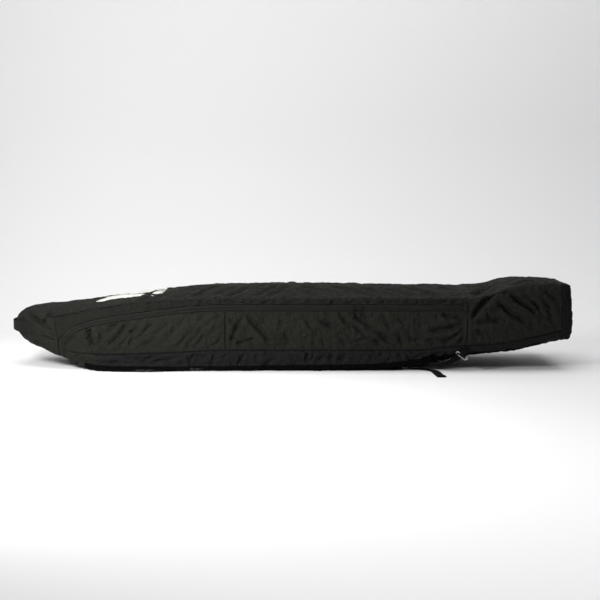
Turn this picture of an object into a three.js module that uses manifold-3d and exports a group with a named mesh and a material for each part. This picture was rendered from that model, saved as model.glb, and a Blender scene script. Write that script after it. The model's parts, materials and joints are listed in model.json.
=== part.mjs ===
// Snowboard bag, lying on its harness side with the zipped front panel up.
// Millimetres. +X runs from the nose to the tail, +Z is up, and the near side is -Y.
// The sections below are drawn from a point between the seams; the whole bag is then moved so
// that the origin is on the ground under its middle.
import * as THREE from "three";
import { mergeVertices } from "three/addons/utils/BufferGeometryUtils.js";
import Module from "manifold-3d";

const wasm = await Module();
wasm.setup();

// Length of the bag.
const CENTRING_X = 18;
const NOSE_X = -838;
const CAP_X = -688;
const BASE_NOSE_X = -675;
const FRONT_SEAM_X = -195;
const LID_HINGE_X = 497;
const REAR_SEAM_X = 505;
const TAIL_X = 801;
const TAIL_FACE_X = 806;

// Zip.
const TRACK_Z = 186;
const HALF_WIDTH = 180;
const BAND_HALF = 12;
const ZIP_END_X = 490;

// Fabric layers.
const GAP = 0.4;
const SHELL = 3;
const WALL = 6;
const FOAM = 5;
const LINING = 1.5;
const LAYER_GAP = 0.3;
const LAYER_MARGIN = 2;

// Seams are numbered round the section from the middle of the belly to the crown.
const BELLY_EDGE = 1;
const LOWER_SEAM = 3;
const ZIP_LOW = 4;
const ZIP_HIGH = 5;
const FRONT_SEAM = 6;
const CROWN = 7;

// Heights and half width along the bag, as [x, value] knots.
const HALF_WIDTHS = [[-838, 34], [-828, 48], [-812, 66], [-793, 82], [-754, 105], [-702, 129],
  [-647, 146], [-563, 161], [-471, 171], [-350, 177], [FRONT_SEAM_X, HALF_WIDTH],
  [REAR_SEAM_X, HALF_WIDTH], [600, 178], [700, 173], [770, 168], [806, 164]];
const BELLY_Z = [[-838, 107], [-828, 98], [-812, 86], [-793, 75], [-754, 60], [-702, 43],
  [-664, 29], [-640, 18], [-615, 9], [-585, 4], [-520, 3], [-440, 3], [-370, 8], [-300, 13.6],
  [300, 13.6], [400, 24], [500, 42], [640, 58], [700, 70], [760, 83], [806, 90]];
const LOWER_EDGE_Z = [[-838, 111], [-828, 103], [-812, 92], [-793, 82], [-754, 68], [-702, 52],
  [-675, 43], [-641, 33], [-600, 24], [-563, 20], [-468, 19], [20, 25], [212, 28], [321, 37],
  [447, 51], [637, 66], [697, 78], [760, 90], [806, 98]];
const LOWER_SEAM_Z = [[-838, 115], [-828, 108], [-812, 102], [-778, 90], [-717, 70], [-675, 59],
  [-641, 52], [-557, 47], [-357, 54], [FRONT_SEAM_X, 62], [364, 62], [447, 71], [628, 84],
  [708, 101], [806, 119]];
const BAND_Z = [[-838, 124], [-778, 117], [-717, 111], [-675, 104], [-641, 119], [-569, 142],
  [-420, 166], [-300, 181], [FRONT_SEAM_X, TRACK_Z], [REAR_SEAM_X, TRACK_Z], [640, 190],
  [806, 188]];
const BAND_HALVES = [[-838, 3], [-778, 8], [-717, 11], [-675, BAND_HALF], [806, BAND_HALF]];
const FRONT_SEAM_Z = [[-838, 134], [-828, 141], [-812, 147], [-778, 152], [-704, 158], [-656, 166],
  [-600, 178], [-500, 195], [-420, 204], [-300, 210], [FRONT_SEAM_X, 212], [REAR_SEAM_X, 212],
  [560, 222], [610, 239], [670, 251], [740, 255], [806, 252]];
const CROWN_Z = [[-838, 150], [-828, 158], [-812, 166], [-793, 173], [-746, 182], [-673, 190],
  [-600, 197], [-515, 207], [-445, 216], [-344, 229], [-234, 238], [0, 243], [202, 240],
  [510, 240], [603, 250], [676, 263], [748, 262], [806, 258]];
// Stations where every skin that passes has an edge, so that neighbours keep an even gap.
const STATIONS = [-832, -824, -810, -785, -754, -717, -650, -620, -590, -540, -490, -430, -370,
  -300, -240, FRONT_SEAM_X, -80, 50, 180, 300, 350, 400, 450, REAR_SEAM_X, 550, 595, 640, 680,
  720, 760];
const STATION_MIN = 2;

const materials = {
  fabric: { color: 0x20201e, roughness: 0.62, metalness: 0 },
  lowerFabric: { color: 0x181819, roughness: 0.66, metalness: 0 },
  lining: { color: 0x3a3b3d, roughness: 0.8, metalness: 0 },
  foam: { color: 0x55575a, roughness: 0.95, metalness: 0 },
  webbing: { color: 0x131314, roughness: 0.75, metalness: 0 },
  padding: { color: 0x161617, roughness: 0.85, metalness: 0 },
  piping: { color: 0x121212, roughness: 0.55, metalness: 0 },
  tape: { color: 0x151515, roughness: 0.7, metalness: 0 },
  coil: { color: 0x0f0f0f, roughness: 0.4, metalness: 0 },
  slider: { color: 0x1b1b1c, roughness: 0.35, metalness: 0.8 },
  nickel: { color: 0xc9c8c4, roughness: 0.22, metalness: 1 },
  buckle: { color: 0x101011, roughness: 0.45, metalness: 0 },
};

const bag = new THREE.Group();

function addMesh(name, geometry, material, parent = bag) {
  const mesh = new THREE.Mesh(geometry, new THREE.MeshStandardMaterial(material));
  mesh.name = name;
  parent.add(mesh);
  return mesh;
}

// A smooth curve through the knots that never overshoots them.
function throughKnots(knots) {
  const count = knots.length;
  const slopes = knots.slice(1).map(([x, v], i) => (v - knots[i][1]) / (x - knots[i][0]));
  const tangents = knots.map((_, i) => {
    if (i === 0 || i === count - 1) return 0;
    const [before, after] = [slopes[i - 1], slopes[i]];
    return before * after <= 0 ? 0 : (2 * before * after) / (before + after);
  });
  return (x) => {
    const clamped = Math.min(Math.max(x, knots[0][0]), knots[count - 1][0]);
    let i = 0;
    while (i < count - 2 && clamped > knots[i + 1][0]) i += 1;
    const [x0, v0] = knots[i];
    const [x1, v1] = knots[i + 1];
    const h = x1 - x0;
    const u = (clamped - x0) / h;
    const rise = u * u * (3 - 2 * u);
    return v0 + (v1 - v0) * rise + h * u * (1 - u) * (tangents[i] * (1 - u) - tangents[i + 1] * u);
  };
}

const halfWidth = throughKnots(HALF_WIDTHS);
const bellyZ = throughKnots(BELLY_Z);
const lowerEdgeZ = throughKnots(LOWER_EDGE_Z);
const lowerSeamZ = throughKnots(LOWER_SEAM_Z);
const bandZ = throughKnots(BAND_Z);
const bandHalf = throughKnots(BAND_HALVES);
const frontSeamZ = throughKnots(FRONT_SEAM_Z);
const crownZ = throughKnots(CROWN_Z);

// How far each seam stands in from the half width of a full section.
const BELLY_EDGE_IN = 30;
const LOWER_EDGE_IN = 10;
const LOWER_SEAM_IN = 3;
const FRONT_SEAM_IN = 12;
const FULL_SECTION = 120;

function seams(x) {
  const w = halfWidth(x);
  const k = Math.min(1, w / FULL_SECTION);
  return [
    [0, bellyZ(x)],
    [w - BELLY_EDGE_IN * k, bellyZ(x)],
    [w - LOWER_EDGE_IN * k, lowerEdgeZ(x)],
    [w - LOWER_SEAM_IN * k, lowerSeamZ(x)],
    [w, bandZ(x) - bandHalf(x)],
    [w, bandZ(x) + bandHalf(x)],
    [w - FRONT_SEAM_IN * k, frontSeamZ(x)],
    [0, crownZ(x)],
  ];
}

// A point on the outer skin. s is a seam number; minus or past CROWN is the far side.
function skin(x, s) {
  const t = s > CROWN ? 2 * CROWN - s : Math.abs(s);
  const far = s > CROWN || s < 0;
  const points = seams(x);
  const i = Math.min(Math.floor(t), CROWN - 1);
  const u = t - i;
  const [y0, z0] = points[i];
  const [y1, z1] = points[i + 1];
  const rise = i === FRONT_SEAM ? 1 - (1 - u) ** 2 : u;
  const y = y0 + (y1 - y0) * u;
  return new THREE.Vector3(x, far ? y : -y, z0 + (z1 - z0) * rise);
}

// The unit vector into the bag, in the plane of the section, mitred at the seams.
const SLOPE_STEP = 0.06;
function inward(x, s) {
  const along = skin(x, s + SLOPE_STEP).sub(skin(x, s - SLOPE_STEP));
  return new THREE.Vector3(0, along.z, -along.y).normalize();
}

// Moves s past a seam so that a skin stops a margin short of it.
function pastSeam(x, s, direction, margin) {
  const length = skin(x, s).distanceTo(skin(x, s + direction));
  return s + (direction * margin) / length;
}

function stationsBetween(from, to) {
  return [from, ...STATIONS.filter((x) => x > from + STATION_MIN && x < to - STATION_MIN), to];
}

function soundGeometry(positions) {
  const geometry = new THREE.BufferGeometry();
  geometry.setAttribute("position", new THREE.Float32BufferAttribute(positions, 3));
  let volume = 0;
  for (let i = 0; i < positions.length; i += 9) {
    const a = new THREE.Vector3(...positions.slice(i, i + 3));
    const b = new THREE.Vector3(...positions.slice(i + 3, i + 6));
    const c = new THREE.Vector3(...positions.slice(i + 6, i + 9));
    volume += a.dot(b.cross(c));
  }
  if (volume < 0) {
    for (let i = 0; i < positions.length; i += 9) {
      const second = positions.slice(i + 3, i + 6);
      positions.splice(i + 3, 6, ...positions.slice(i + 6, i + 9), ...second);
    }
    geometry.setAttribute("position", new THREE.Float32BufferAttribute(positions, 3));
  }
  geometry.computeVertexNormals();
  return geometry;
}

function triangle(positions, a, b, c) {
  for (const p of [a, b, c]) positions.push(p.x, p.y, p.z);
}

function quad(positions, a, b, c, d) {
  triangle(positions, a, b, c);
  triangle(positions, a, c, d);
}

// A closed solid between two grids of points with open edges.
function sheetSolid(outer, inner) {
  const positions = [];
  const rows = outer.length - 1;
  const columns = outer[0].length - 1;
  for (let i = 0; i < rows; i += 1) {
    for (let j = 0; j < columns; j += 1) {
      quad(positions, outer[i][j], outer[i + 1][j], outer[i + 1][j + 1], outer[i][j + 1]);
      quad(positions, inner[i][j], inner[i][j + 1], inner[i + 1][j + 1], inner[i + 1][j]);
    }
    quad(positions, outer[i][0], inner[i][0], inner[i + 1][0], outer[i + 1][0]);
    const last = columns;
    quad(positions, outer[i][last], outer[i + 1][last], inner[i + 1][last], inner[i][last]);
  }
  for (let j = 0; j < columns; j += 1) {
    quad(positions, outer[0][j], outer[0][j + 1], inner[0][j + 1], inner[0][j]);
    const [o, n] = [outer[rows], inner[rows]];
    quad(positions, o[j], n[j], n[j + 1], o[j + 1]);
  }
  return soundGeometry(positions);
}

// A skin panel from x to x and from seam to seam, at a depth under the outer surface.
function panel({ from, to, low, high, columns, thickness, depth = 0, margin = GAP / 2 }) {
  const xs = stationsBetween(from + GAP / 2, to - GAP / 2);
  const outer = [];
  const inner = [];
  for (const x of xs) {
    const start = pastSeam(x, low, 1, margin);
    const end = pastSeam(x, high, -1, margin);
    const step = (end - start) / columns;
    const params = Array.from({ length: columns + 1 }, (_, j) => start + step * j);
    const place = (s, d) => skin(x, s).addScaledVector(inward(x, s), d);
    outer.push(params.map((s) => place(s, depth)));
    inner.push(params.map((s) => place(s, depth + thickness)));
  }
  return sheetSolid(outer, inner);
}

// The nose: a hollow cap, closed at the tip and open towards the tail.
const CAP_COLUMNS = 28;
const TIP_WALL = 6;
function noseCap() {
  const xs = stationsBetween(NOSE_X, CAP_X - GAP / 2);
  const ring = (x, depth, shift) =>
    Array.from({ length: CAP_COLUMNS }, (_, j) => {
      const s = (j * 2 * CROWN) / CAP_COLUMNS;
      return skin(x, s).addScaledVector(inward(x, s), depth).add(new THREE.Vector3(shift, 0, 0));
    });
  const outer = xs.map((x) => ring(x, 0, 0));
  const inner = xs.map((x, i) => ring(x, WALL, i === 0 ? TIP_WALL : 0));
  const positions = [];
  const next = (j) => (j + 1) % CAP_COLUMNS;
  for (let i = 0; i < xs.length - 1; i += 1) {
    for (let j = 0; j < CAP_COLUMNS; j += 1) {
      quad(positions, outer[i][j], outer[i + 1][j], outer[i + 1][next(j)], outer[i][next(j)]);
      quad(positions, inner[i][j], inner[i][next(j)], inner[i + 1][next(j)], inner[i + 1][j]);
    }
  }
  const middle = (points) =>
    points.reduce((sum, p) => sum.add(p), new THREE.Vector3()).divideScalar(points.length);
  const [tip, pocket] = [middle(outer[0]), middle(inner[0])];
  const end = xs.length - 1;
  for (let j = 0; j < CAP_COLUMNS; j += 1) {
    triangle(positions, tip, outer[0][j], outer[0][next(j)]);
    triangle(positions, pocket, inner[0][next(j)], inner[0][j]);
    quad(positions, outer[end][j], inner[end][j], inner[end][next(j)], outer[end][next(j)]);
  }
  return soundGeometry(positions);
}

// A flat strap: centre points, the half width vector at each, and the half thickness vector.
function ribbon(stops) {
  const corner = (stop, a, b) =>
    stop.at.clone().addScaledVector(stop.half, a).addScaledVector(stop.up, b);
  const face = (b) => stops.map((stop) => [corner(stop, -1, b), corner(stop, 1, b)]);
  return sheetSolid(face(1), face(-1));
}

function toSolid(geometry) {
  const bare = geometry.index ? geometry.toNonIndexed() : geometry.clone();
  for (const name of Object.keys(bare.attributes)) {
    if (name !== "position") bare.deleteAttribute(name);
  }
  const merged = mergeVertices(bare, 1e-3);
  return new wasm.Manifold(
    new wasm.Mesh({
      numProp: 3,
      vertProperties: merged.attributes.position.array,
      triVerts: new Uint32Array(merged.index.array),
    }),
  );
}

function toGeometry(solid) {
  const mesh = solid.getMesh();
  const geometry = new THREE.BufferGeometry();
  geometry.setAttribute("position", new THREE.BufferAttribute(mesh.vertProperties, 3));
  geometry.setIndex(new THREE.BufferAttribute(mesh.triVerts, 1));
  geometry.computeVertexNormals();
  return geometry;
}

function join(pieces) {
  return toGeometry(pieces.map(toSolid).reduce((sum, piece) => sum.add(piece)));
}

function block(low, high) {
  const size = high.map((v, i) => v - low[i]);
  const geometry = new THREE.BoxGeometry(...size);
  return geometry.translate(...low.map((v, i) => v + size[i] / 2));
}

// ---- Base: belly, sides and tail ----

function addBelly() {
  const span = { from: BASE_NOSE_X, to: TAIL_X, low: -BELLY_EDGE, high: BELLY_EDGE, columns: 4 };
  addMesh("back_panel", panel({ ...span, thickness: SHELL }), materials.lowerFabric);
  const inner = { ...span, margin: LAYER_MARGIN };
  const foamDepth = SHELL + LAYER_GAP;
  addMesh("back_foam", panel({ ...inner, thickness: FOAM, depth: foamDepth }), materials.foam);
  const liningDepth = foamDepth + FOAM + LAYER_GAP;
  const lining = panel({ ...inner, thickness: LINING, depth: liningDepth });
  addMesh("back_lining", lining, materials.lining);
}

// The near side runs up from the belly; the far side has the same seams, mirrored.
function bothSides(low, high) {
  return [
    ["near", low, high],
    ["far", 2 * CROWN - high, 2 * CROWN - low],
  ];
}

function addSides() {
  const walls = [
    ["nose", BASE_NOSE_X, FRONT_SEAM_X, ZIP_LOW, 2],
    ["mid", FRONT_SEAM_X, REAR_SEAM_X, ZIP_LOW, 2],
    ["tail", REAR_SEAM_X, TAIL_X, FRONT_SEAM, 3],
  ];
  for (const [name, from, to, top, columns] of walls) {
    for (const [side, low, high] of bothSides(LOWER_SEAM, top)) {
      const geometry = panel({ from, to, low, high, columns, thickness: WALL });
      addMesh(`side_panel_${side}_${name}`, geometry, materials.fabric);
    }
  }
  for (const [side, low, high] of bothSides(BELLY_EDGE, LOWER_SEAM)) {
    const band = { from: BASE_NOSE_X, to: TAIL_X, low, high, columns: 2, thickness: WALL };
    addMesh(`lower_band_${side}`, panel(band), materials.lowerFabric);
  }
}

function addTail() {
  const top = { low: FRONT_SEAM, high: 2 * CROWN - FRONT_SEAM, columns: 8, thickness: WALL };
  const crown = panel({ from: REAR_SEAM_X, to: TAIL_X, ...top });
  addMesh("tail_top_panel", crown, materials.fabric);
  // The strip that the lid hinges on runs across the bag ahead of the tail panel.
  const hem = { ...top, low: ZIP_HIGH, high: 2 * CROWN - ZIP_HIGH, columns: 10 };
  addMesh("hinge_hem", panel({ from: LID_HINGE_X, to: REAR_SEAM_X, ...hem }), materials.fabric);
  const outline = [];
  for (let s = 0; s < 2 * CROWN; s += 0.5) outline.push(skin(TAIL_X, s));
  const shape = new THREE.Shape(outline.map((p) => new THREE.Vector2(p.y, p.z)));
  const depth = TAIL_FACE_X - TAIL_X - GAP / 2;
  const plate = new THREE.ExtrudeGeometry(shape, { depth, bevelEnabled: false });
  // The outline is drawn in Y and Z, so its axes are turned to stand across the bag.
  const turn = new THREE.Matrix4().makeBasis(
    new THREE.Vector3(0, 1, 0), new THREE.Vector3(0, 0, 1), new THREE.Vector3(1, 0, 0));
  plate.applyMatrix4(turn).translate(TAIL_X + GAP / 2, 0, 0);
  addMesh("tail_end_panel", plate, materials.lowerFabric);
}

// ---- Zip: two tapes with a coil on each, round both sides and under the nose ----

const TAPE = 1.2;
const COIL_IN = 0.35;
const COIL_OUT = 0.47;
const COIL_THICK = 2.4;
const COIL_PROUD = 0.8;

function addZipHalf(body, tapeFrom, tapeTo, coilFrom, coilTo) {
  const startX = body === "base" ? BASE_NOSE_X : CAP_X;
  const run = { from: startX, to: ZIP_END_X, columns: 1 };
  for (const [side, low, high] of bothSides(tapeFrom, tapeTo)) {
    const tape = panel({ ...run, low, high, thickness: TAPE });
    addMesh(`zip_tape_${body}_${side}`, tape, materials.tape);
  }
  for (const [side, low, high] of bothSides(coilFrom, coilTo)) {
    const coil = panel({ ...run, low, high, thickness: COIL_THICK, depth: -COIL_PROUD });
    addMesh(`zip_coil_${body}_${side}`, coil, materials.coil);
  }
}

// The leg of the zip that goes down the side of the nose, under it and up again.
function addZipNoseLeg() {
  const top = ZIP_LOW + COIL_IN;
  const leg = { low: -top, high: top, columns: 12, thickness: TAPE };
  const middle = (CAP_X + BASE_NOSE_X) / 2;
  const lid = panel({ ...leg, from: CAP_X, to: middle });
  addMesh("zip_tape_lid_nose", lid, materials.tape);
  const low = { ...leg, low: -ZIP_LOW, high: ZIP_LOW };
  const base = panel({ ...low, from: middle, to: BASE_NOSE_X });
  addMesh("zip_tape_base_nose", base, materials.tape);
}

function addZip() {
  addZipHalf("base", ZIP_LOW, ZIP_LOW + COIL_IN, ZIP_LOW + COIL_IN, ZIP_LOW + COIL_OUT);
  const top = ZIP_HIGH;
  addZipHalf("lid", top - COIL_IN, top, top - COIL_OUT, top - COIL_IN);
  addZipNoseLeg();
  for (const [side, low, high] of bothSides(ZIP_LOW, ZIP_HIGH)) {
    const size = { columns: 1, thickness: SHELL, margin: LAYER_MARGIN };
    const stop = { from: ZIP_END_X, to: REAR_SEAM_X, low, high, ...size };
    addMesh(`zip_stop_${side}`, panel(stop), materials.fabric);
  }
}

// ---- Lid: front panel, side strips and the whole nose ----

function addLid() {
  const front = { low: FRONT_SEAM, high: 2 * CROWN - FRONT_SEAM, columns: 8 };
  const span = { from: CAP_X, to: LID_HINGE_X };
  addMesh("front_panel", panel({ ...span, ...front, thickness: SHELL }), materials.fabric);
  const foamDepth = SHELL + LAYER_GAP;
  const inner = { ...span, ...front, margin: LAYER_MARGIN };
  const foam = panel({ ...inner, thickness: FOAM, depth: foamDepth });
  addMesh("front_foam", foam, materials.foam);
  const liningDepth = foamDepth + FOAM + LAYER_GAP;
  const lining = panel({ ...inner, thickness: LINING, depth: liningDepth });
  addMesh("front_lining", lining, materials.lining);
  for (const [side, low, high] of bothSides(ZIP_HIGH, FRONT_SEAM)) {
    const strip = panel({ ...span, low, high, columns: 1, thickness: WALL });
    addMesh(`front_strip_${side}`, strip, materials.fabric);
  }
  addMesh("nose_cap", noseCap(), materials.fabric);
}

// Piping along a seam: a cord laid against the skin.
const PIPING_RADIUS = 1.8;
const PIPING_PROUD = 1;
const PIPING_SIDES = 6;
const PIPING_FRONT_GAP = 2;
const PIPING_REAR_GAP = 4;
function piping(from, to, s) {
  const circle = new THREE.Shape();
  circle.absarc(0, 0, PIPING_RADIUS, 0, 2 * Math.PI);
  const xs = stationsBetween(from, to);
  const clearance = -PIPING_RADIUS - PIPING_PROUD;
  const points = xs.map((x) => skin(x, s).addScaledVector(inward(x, s), clearance));
  return new THREE.ExtrudeGeometry(circle, {
    curveSegments: PIPING_SIDES,
    steps: xs.length,
    bevelEnabled: false,
    extrudePath: new THREE.CatmullRomCurve3(points),
  });
}

function addPiping() {
  const [from, to] = [CAP_X + PIPING_FRONT_GAP, LID_HINGE_X - PIPING_REAR_GAP];
  for (const [side, s] of [["near", FRONT_SEAM], ["far", 2 * CROWN - FRONT_SEAM]]) {
    addMesh(`front_piping_${side}`, piping(from, to, s), materials.piping);
  }
}

// ---- Handles: webbing at the nose and at the tail ----

const HANDLE_HALF = 18;
const HANDLE_THICK = 2.6;
const HANDLE_Z = 120;
const HANDLE_TIP_X = -850;
const HANDLE_SIDE_Y = 90;
const HANDLE_END_X = -788;
const HANDLE_STEPS = 14;

// The webbing goes round the nose in a half oval and is sewn down at its ends.
function noseHandle() {
  const reach = HANDLE_END_X - HANDLE_TIP_X;
  const stops = [];
  for (let i = 0; i <= HANDLE_STEPS; i += 1) {
    const a = Math.PI * (i / HANDLE_STEPS - 0.5);
    const x = HANDLE_END_X - reach * Math.cos(a);
    const y = HANDLE_SIDE_Y * Math.sin(a);
    const out = new THREE.Vector3(-Math.cos(a) / reach, Math.sin(a) / HANDLE_SIDE_Y, 0);
    stops.push({
      at: new THREE.Vector3(x, y, HANDLE_Z),
      half: new THREE.Vector3(0, 0, HANDLE_HALF),
      up: out.normalize().multiplyScalar(HANDLE_THICK / 2),
    });
  }
  return ribbon(stops);
}

const TAIL_GRIP = {
  x: TAIL_FACE_X + 8, z: 131, half: 18, reach: 118, foot: 150, thick: 2.6, slope: 22,
};
function tailHandle() {
  const { x, z, half, reach, foot, thick, slope } = TAIL_GRIP;
  const flatX = TAIL_FACE_X + GAP + thick / 2;
  const grip = reach - slope;
  const path = [[flatX, -foot], [flatX, -reach], [x, -grip], [x, grip], [flatX, reach], [flatX, foot]];
  const stops = path.map(([px, py]) => ({
    at: new THREE.Vector3(px, py, z),
    half: new THREE.Vector3(0, 0, half),
    up: new THREE.Vector3(thick / 2, 0, 0),
  }));
  return ribbon(stops);
}

// ---- Sliders on the straight stretch of the near zip ----

const SLIDER = { length: 18, height: 11, plate: 2.4, clear: 0.5, post: 0.6, postLength: 7 };
const LUG = { width: 1.5, inside: 3.4, reach: 4.4, half: 2.3 };
const PIN_RADIUS = 0.8;
const EYE_BORE = 1.15;
const EYE_RADIUS = 2.1;
const PIN_OUT = 2.5;
const PULL = { width: 6, length: 26, thick: 1.4 };
const MEETING_X = 181;
const SINK = 1;
const PIN_SIDES = 12;
const EYE_SIDES = 16;
const RING_SIDES = 4;

const coilFace = HALF_WIDTH + COIL_PROUD;
const coilBack = HALF_WIDTH + COIL_PROUD - COIL_THICK;
const plateIn = coilFace + SLIDER.clear;
const plateOut = plateIn + SLIDER.plate;
const innerFront = coilBack - SLIDER.clear;
const pinY = plateOut + PIN_OUT;

function rodAlongX(x, y, z, radius, length, sides) {
  return new THREE.CylinderGeometry(radius, radius, length, sides)
    .rotateZ(Math.PI / 2)
    .translate(x, y, z);
}

function sliderBody(x, nose) {
  const [half, tall] = [SLIDER.length / 2, SLIDER.height / 2];
  const lead = x + nose * (half - SLIDER.postLength / 2);
  const pieces = [
    block([x - half, -plateOut, TRACK_Z - tall], [x + half, -plateIn, TRACK_Z + tall]),
    block(
      [x - half, -innerFront, TRACK_Z - tall],
      [x + half, -innerFront + SLIDER.plate, TRACK_Z + tall],
    ),
    block(
      [lead - SLIDER.postLength / 2, -plateIn - SINK, TRACK_Z - SLIDER.post / 2],
      [lead + SLIDER.postLength / 2, -innerFront + SINK, TRACK_Z + SLIDER.post / 2],
    ),
  ];
  for (const side of [-1, 1]) {
    const [a, b] = [x + side * LUG.inside, x + side * (LUG.inside + LUG.width)];
    const low = [Math.min(a, b), -plateOut - LUG.reach, TRACK_Z - LUG.half];
    pieces.push(block(low, [Math.max(a, b), -plateOut + SINK, TRACK_Z + LUG.half]));
  }
  pieces.push(rodAlongX(x, -pinY, TRACK_Z, PIN_RADIUS, 2 * LUG.inside + LUG.width, PIN_SIDES));
  return join(pieces);
}

function pullTab(x) {
  const eye = toSolid(rodAlongX(x, -pinY, TRACK_Z, EYE_RADIUS, PULL.width, EYE_SIDES));
  const top = TRACK_Z - EYE_BORE;
  const tab = block(
    [x - PULL.width / 2, -pinY - PULL.thick / 2, top - PULL.length],
    [x + PULL.width / 2, -pinY + PULL.thick / 2, top],
  );
  const bore = toSolid(rodAlongX(x, -pinY, TRACK_Z, EYE_BORE, PULL.width + 2 * SINK, EYE_SIDES));
  return toGeometry(eye.add(toSolid(tab)).subtract(bore));
}

function addSliders() {
  const offset = SLIDER.length / 2 + 1;
  for (const [name, nose] of [["front", -1], ["rear", 1]]) {
    const x = MEETING_X + nose * offset;
    addMesh(`slider_${name}`, sliderBody(x, nose), materials.slider);
    addMesh(`pull_${name}`, pullTab(x), materials.slider);
  }
}

// ---- Harness under the belly ----

const PAD_THICK = 12;
const YOKE = { from: -275, to: -170, half: 140, thick: 13.2 };
const LUMBAR = { from: 205, to: 285, half: 60, thick: 13.2 };
const STRAP_FLOOR = 0.3;
const PAD_PATH = [[-162, 78, 30], [-60, 88, 31], [80, 104, 31], [220, 122, 28], [310, 130, 22]];
const LOCK = { x: 328, y: 132, z: 7, length: 24, half: 17, thick: 6 };
const SPARE_PATH = [[342, 134], [368, 137], [391, 147], [406, 166], [412, 190], [414, 225],
  [416, 252], [418, 279]];
const WEB_HALF = 12.5;
const WEB_THICK = 2;

// A nickel ring on a slanting webbing tab, sewn into the lower seam.
const RING = { x: 490, y: 185.5, z: 50, tilt: 0.61, tuck: 0.9 };
const RING_FRAME = { width: 42, drop: 17, wire: 4.5, thick: 3.6, outer: 6, inner: 3 };
const TAB = { half: 10, top: 26, thick: 1.6, eye: 4.6, bore: 3.2 };

function flatStrap(points, thick) {
  const stops = points.map(([x, y, z, half], i) => {
    const [ax, ay] = points[Math.max(i - 1, 0)];
    const [bx, by] = points[Math.min(i + 1, points.length - 1)];
    const across = new THREE.Vector3(-(by - ay), bx - ax, 0).normalize();
    return {
      at: new THREE.Vector3(x, y, z),
      half: across.multiplyScalar(half),
      up: new THREE.Vector3(0, 0, thick / 2),
    };
  });
  return ribbon(stops);
}

function mirrored(points, side) {
  return points.map(([x, y, ...rest]) => [x, side * y, ...rest]);
}

// From the ladder lock the webbing turns up beside the bag to the ring, and twists to lie in it.
const LOWER_WEB = [[344, 131, 8], [385, 140, 12], [425, 153, 16], [455, 163, 25], [482, 171, 38]];
function lowerWebbing(side) {
  const points = LOWER_WEB.map(([x, y, z]) => new THREE.Vector3(x, side * y, z));
  const atRing = new THREE.Vector3(Math.cos(RING.tilt), 0, -Math.sin(RING.tilt));
  const last = points.length - 1;
  const stops = points.map((at, i) => {
    const along = points[Math.min(i + 1, last)].clone().sub(points[Math.max(i - 1, 0)]).normalize();
    const flat = new THREE.Vector3(-along.y, along.x, 0).normalize().multiplyScalar(-side);
    const half = flat.lerp(atRing, (i / last) ** 2).normalize();
    const up = half.clone().cross(along).normalize();
    return { at, half: half.multiplyScalar(WEB_HALF), up: up.multiplyScalar(WEB_THICK / 2) };
  });
  return ribbon(stops);
}

function addStrap(name, side) {
  const padZ = STRAP_FLOOR + PAD_THICK / 2;
  const pad = PAD_PATH.map(([x, y, half]) => [x, y, padZ, half]);
  addMesh(`shoulder_pad_${name}`, flatStrap(mirrored(pad, side), PAD_THICK), materials.padding);
  const near = Math.min(side * (LOCK.y - LOCK.half), side * (LOCK.y + LOCK.half));
  const lock = block(
    [LOCK.x - LOCK.length / 2, near, LOCK.z - LOCK.thick / 2],
    [LOCK.x + LOCK.length / 2, near + 2 * LOCK.half, LOCK.z + LOCK.thick / 2],
  );
  addMesh(`ladder_lock_${name}`, lock, materials.buckle);
  // The spare end of the webbing lies on the ground beside the bag.
  const webZ = STRAP_FLOOR + WEB_THICK / 2;
  const tail = SPARE_PATH.map(([x, y]) => [x, y, webZ, WEB_HALF]);
  addMesh(`webbing_tail_${name}`, flatStrap(mirrored(tail, side), WEB_THICK), materials.webbing);
  addMesh(`webbing_lower_${name}`, lowerWebbing(side), materials.webbing);
}

function roundedFrame({ width, drop, wire, outer, inner }) {
  const outline = (w, h, r, path) => {
    path.moveTo(-w / 2 + r, -h);
    path.lineTo(w / 2 - r, -h);
    path.absarc(w / 2 - r, -h + r, r, -Math.PI / 2, 0);
    path.lineTo(w / 2, -r);
    path.absarc(w / 2 - r, -r, r, 0, Math.PI / 2);
    path.lineTo(-w / 2 + r, 0);
    path.absarc(-w / 2 + r, -r, r, Math.PI / 2, Math.PI);
    path.lineTo(-w / 2, -h + r);
    path.absarc(-w / 2 + r, -h + r, r, Math.PI, 1.5 * Math.PI);
    return path;
  };
  const shape = outline(width, drop, outer, new THREE.Shape());
  const inside = outline(width - 2 * wire, drop - 2 * wire, inner, new THREE.Path());
  const hole = new THREE.Path(inside.getPoints(RING_SIDES).map((p) => new THREE.Vector2(p.x, p.y - wire)));
  shape.holes.push(hole);
  return shape;
}

function addRing(name, side) {
  const place = new THREE.Group();
  place.position.set(RING.x, side * RING.y, RING.z);
  place.rotation.y = RING.tilt;
  bag.add(place);
  const { wire, thick } = RING_FRAME;
  const shape = roundedFrame(RING_FRAME);
  const extrusion = { depth: thick, bevelEnabled: false, curveSegments: RING_SIDES };
  const ring = new THREE.ExtrudeGeometry(shape, extrusion);
  // The ring hangs from its bar, tucked in under the bag.
  ring.translate(0, wire / 2, -thick / 2).rotateX(Math.PI / 2 - side * RING.tuck);
  addMesh(`strap_ring_${name}`, ring, materials.nickel, place);
  const eye = toSolid(rodAlongX(0, 0, 0, TAB.eye, 2 * TAB.half, EYE_SIDES));
  const web = block([-TAB.half, -TAB.thick / 2, TAB.bore], [TAB.half, TAB.thick / 2, TAB.top]);
  const bore = toSolid(rodAlongX(0, 0, 0, TAB.bore, 2 * (TAB.half + SINK), EYE_SIDES));
  const tab = toGeometry(eye.add(toSolid(web)).subtract(bore));
  addMesh(`ring_tab_${name}`, tab, materials.webbing, place);
}

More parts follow.
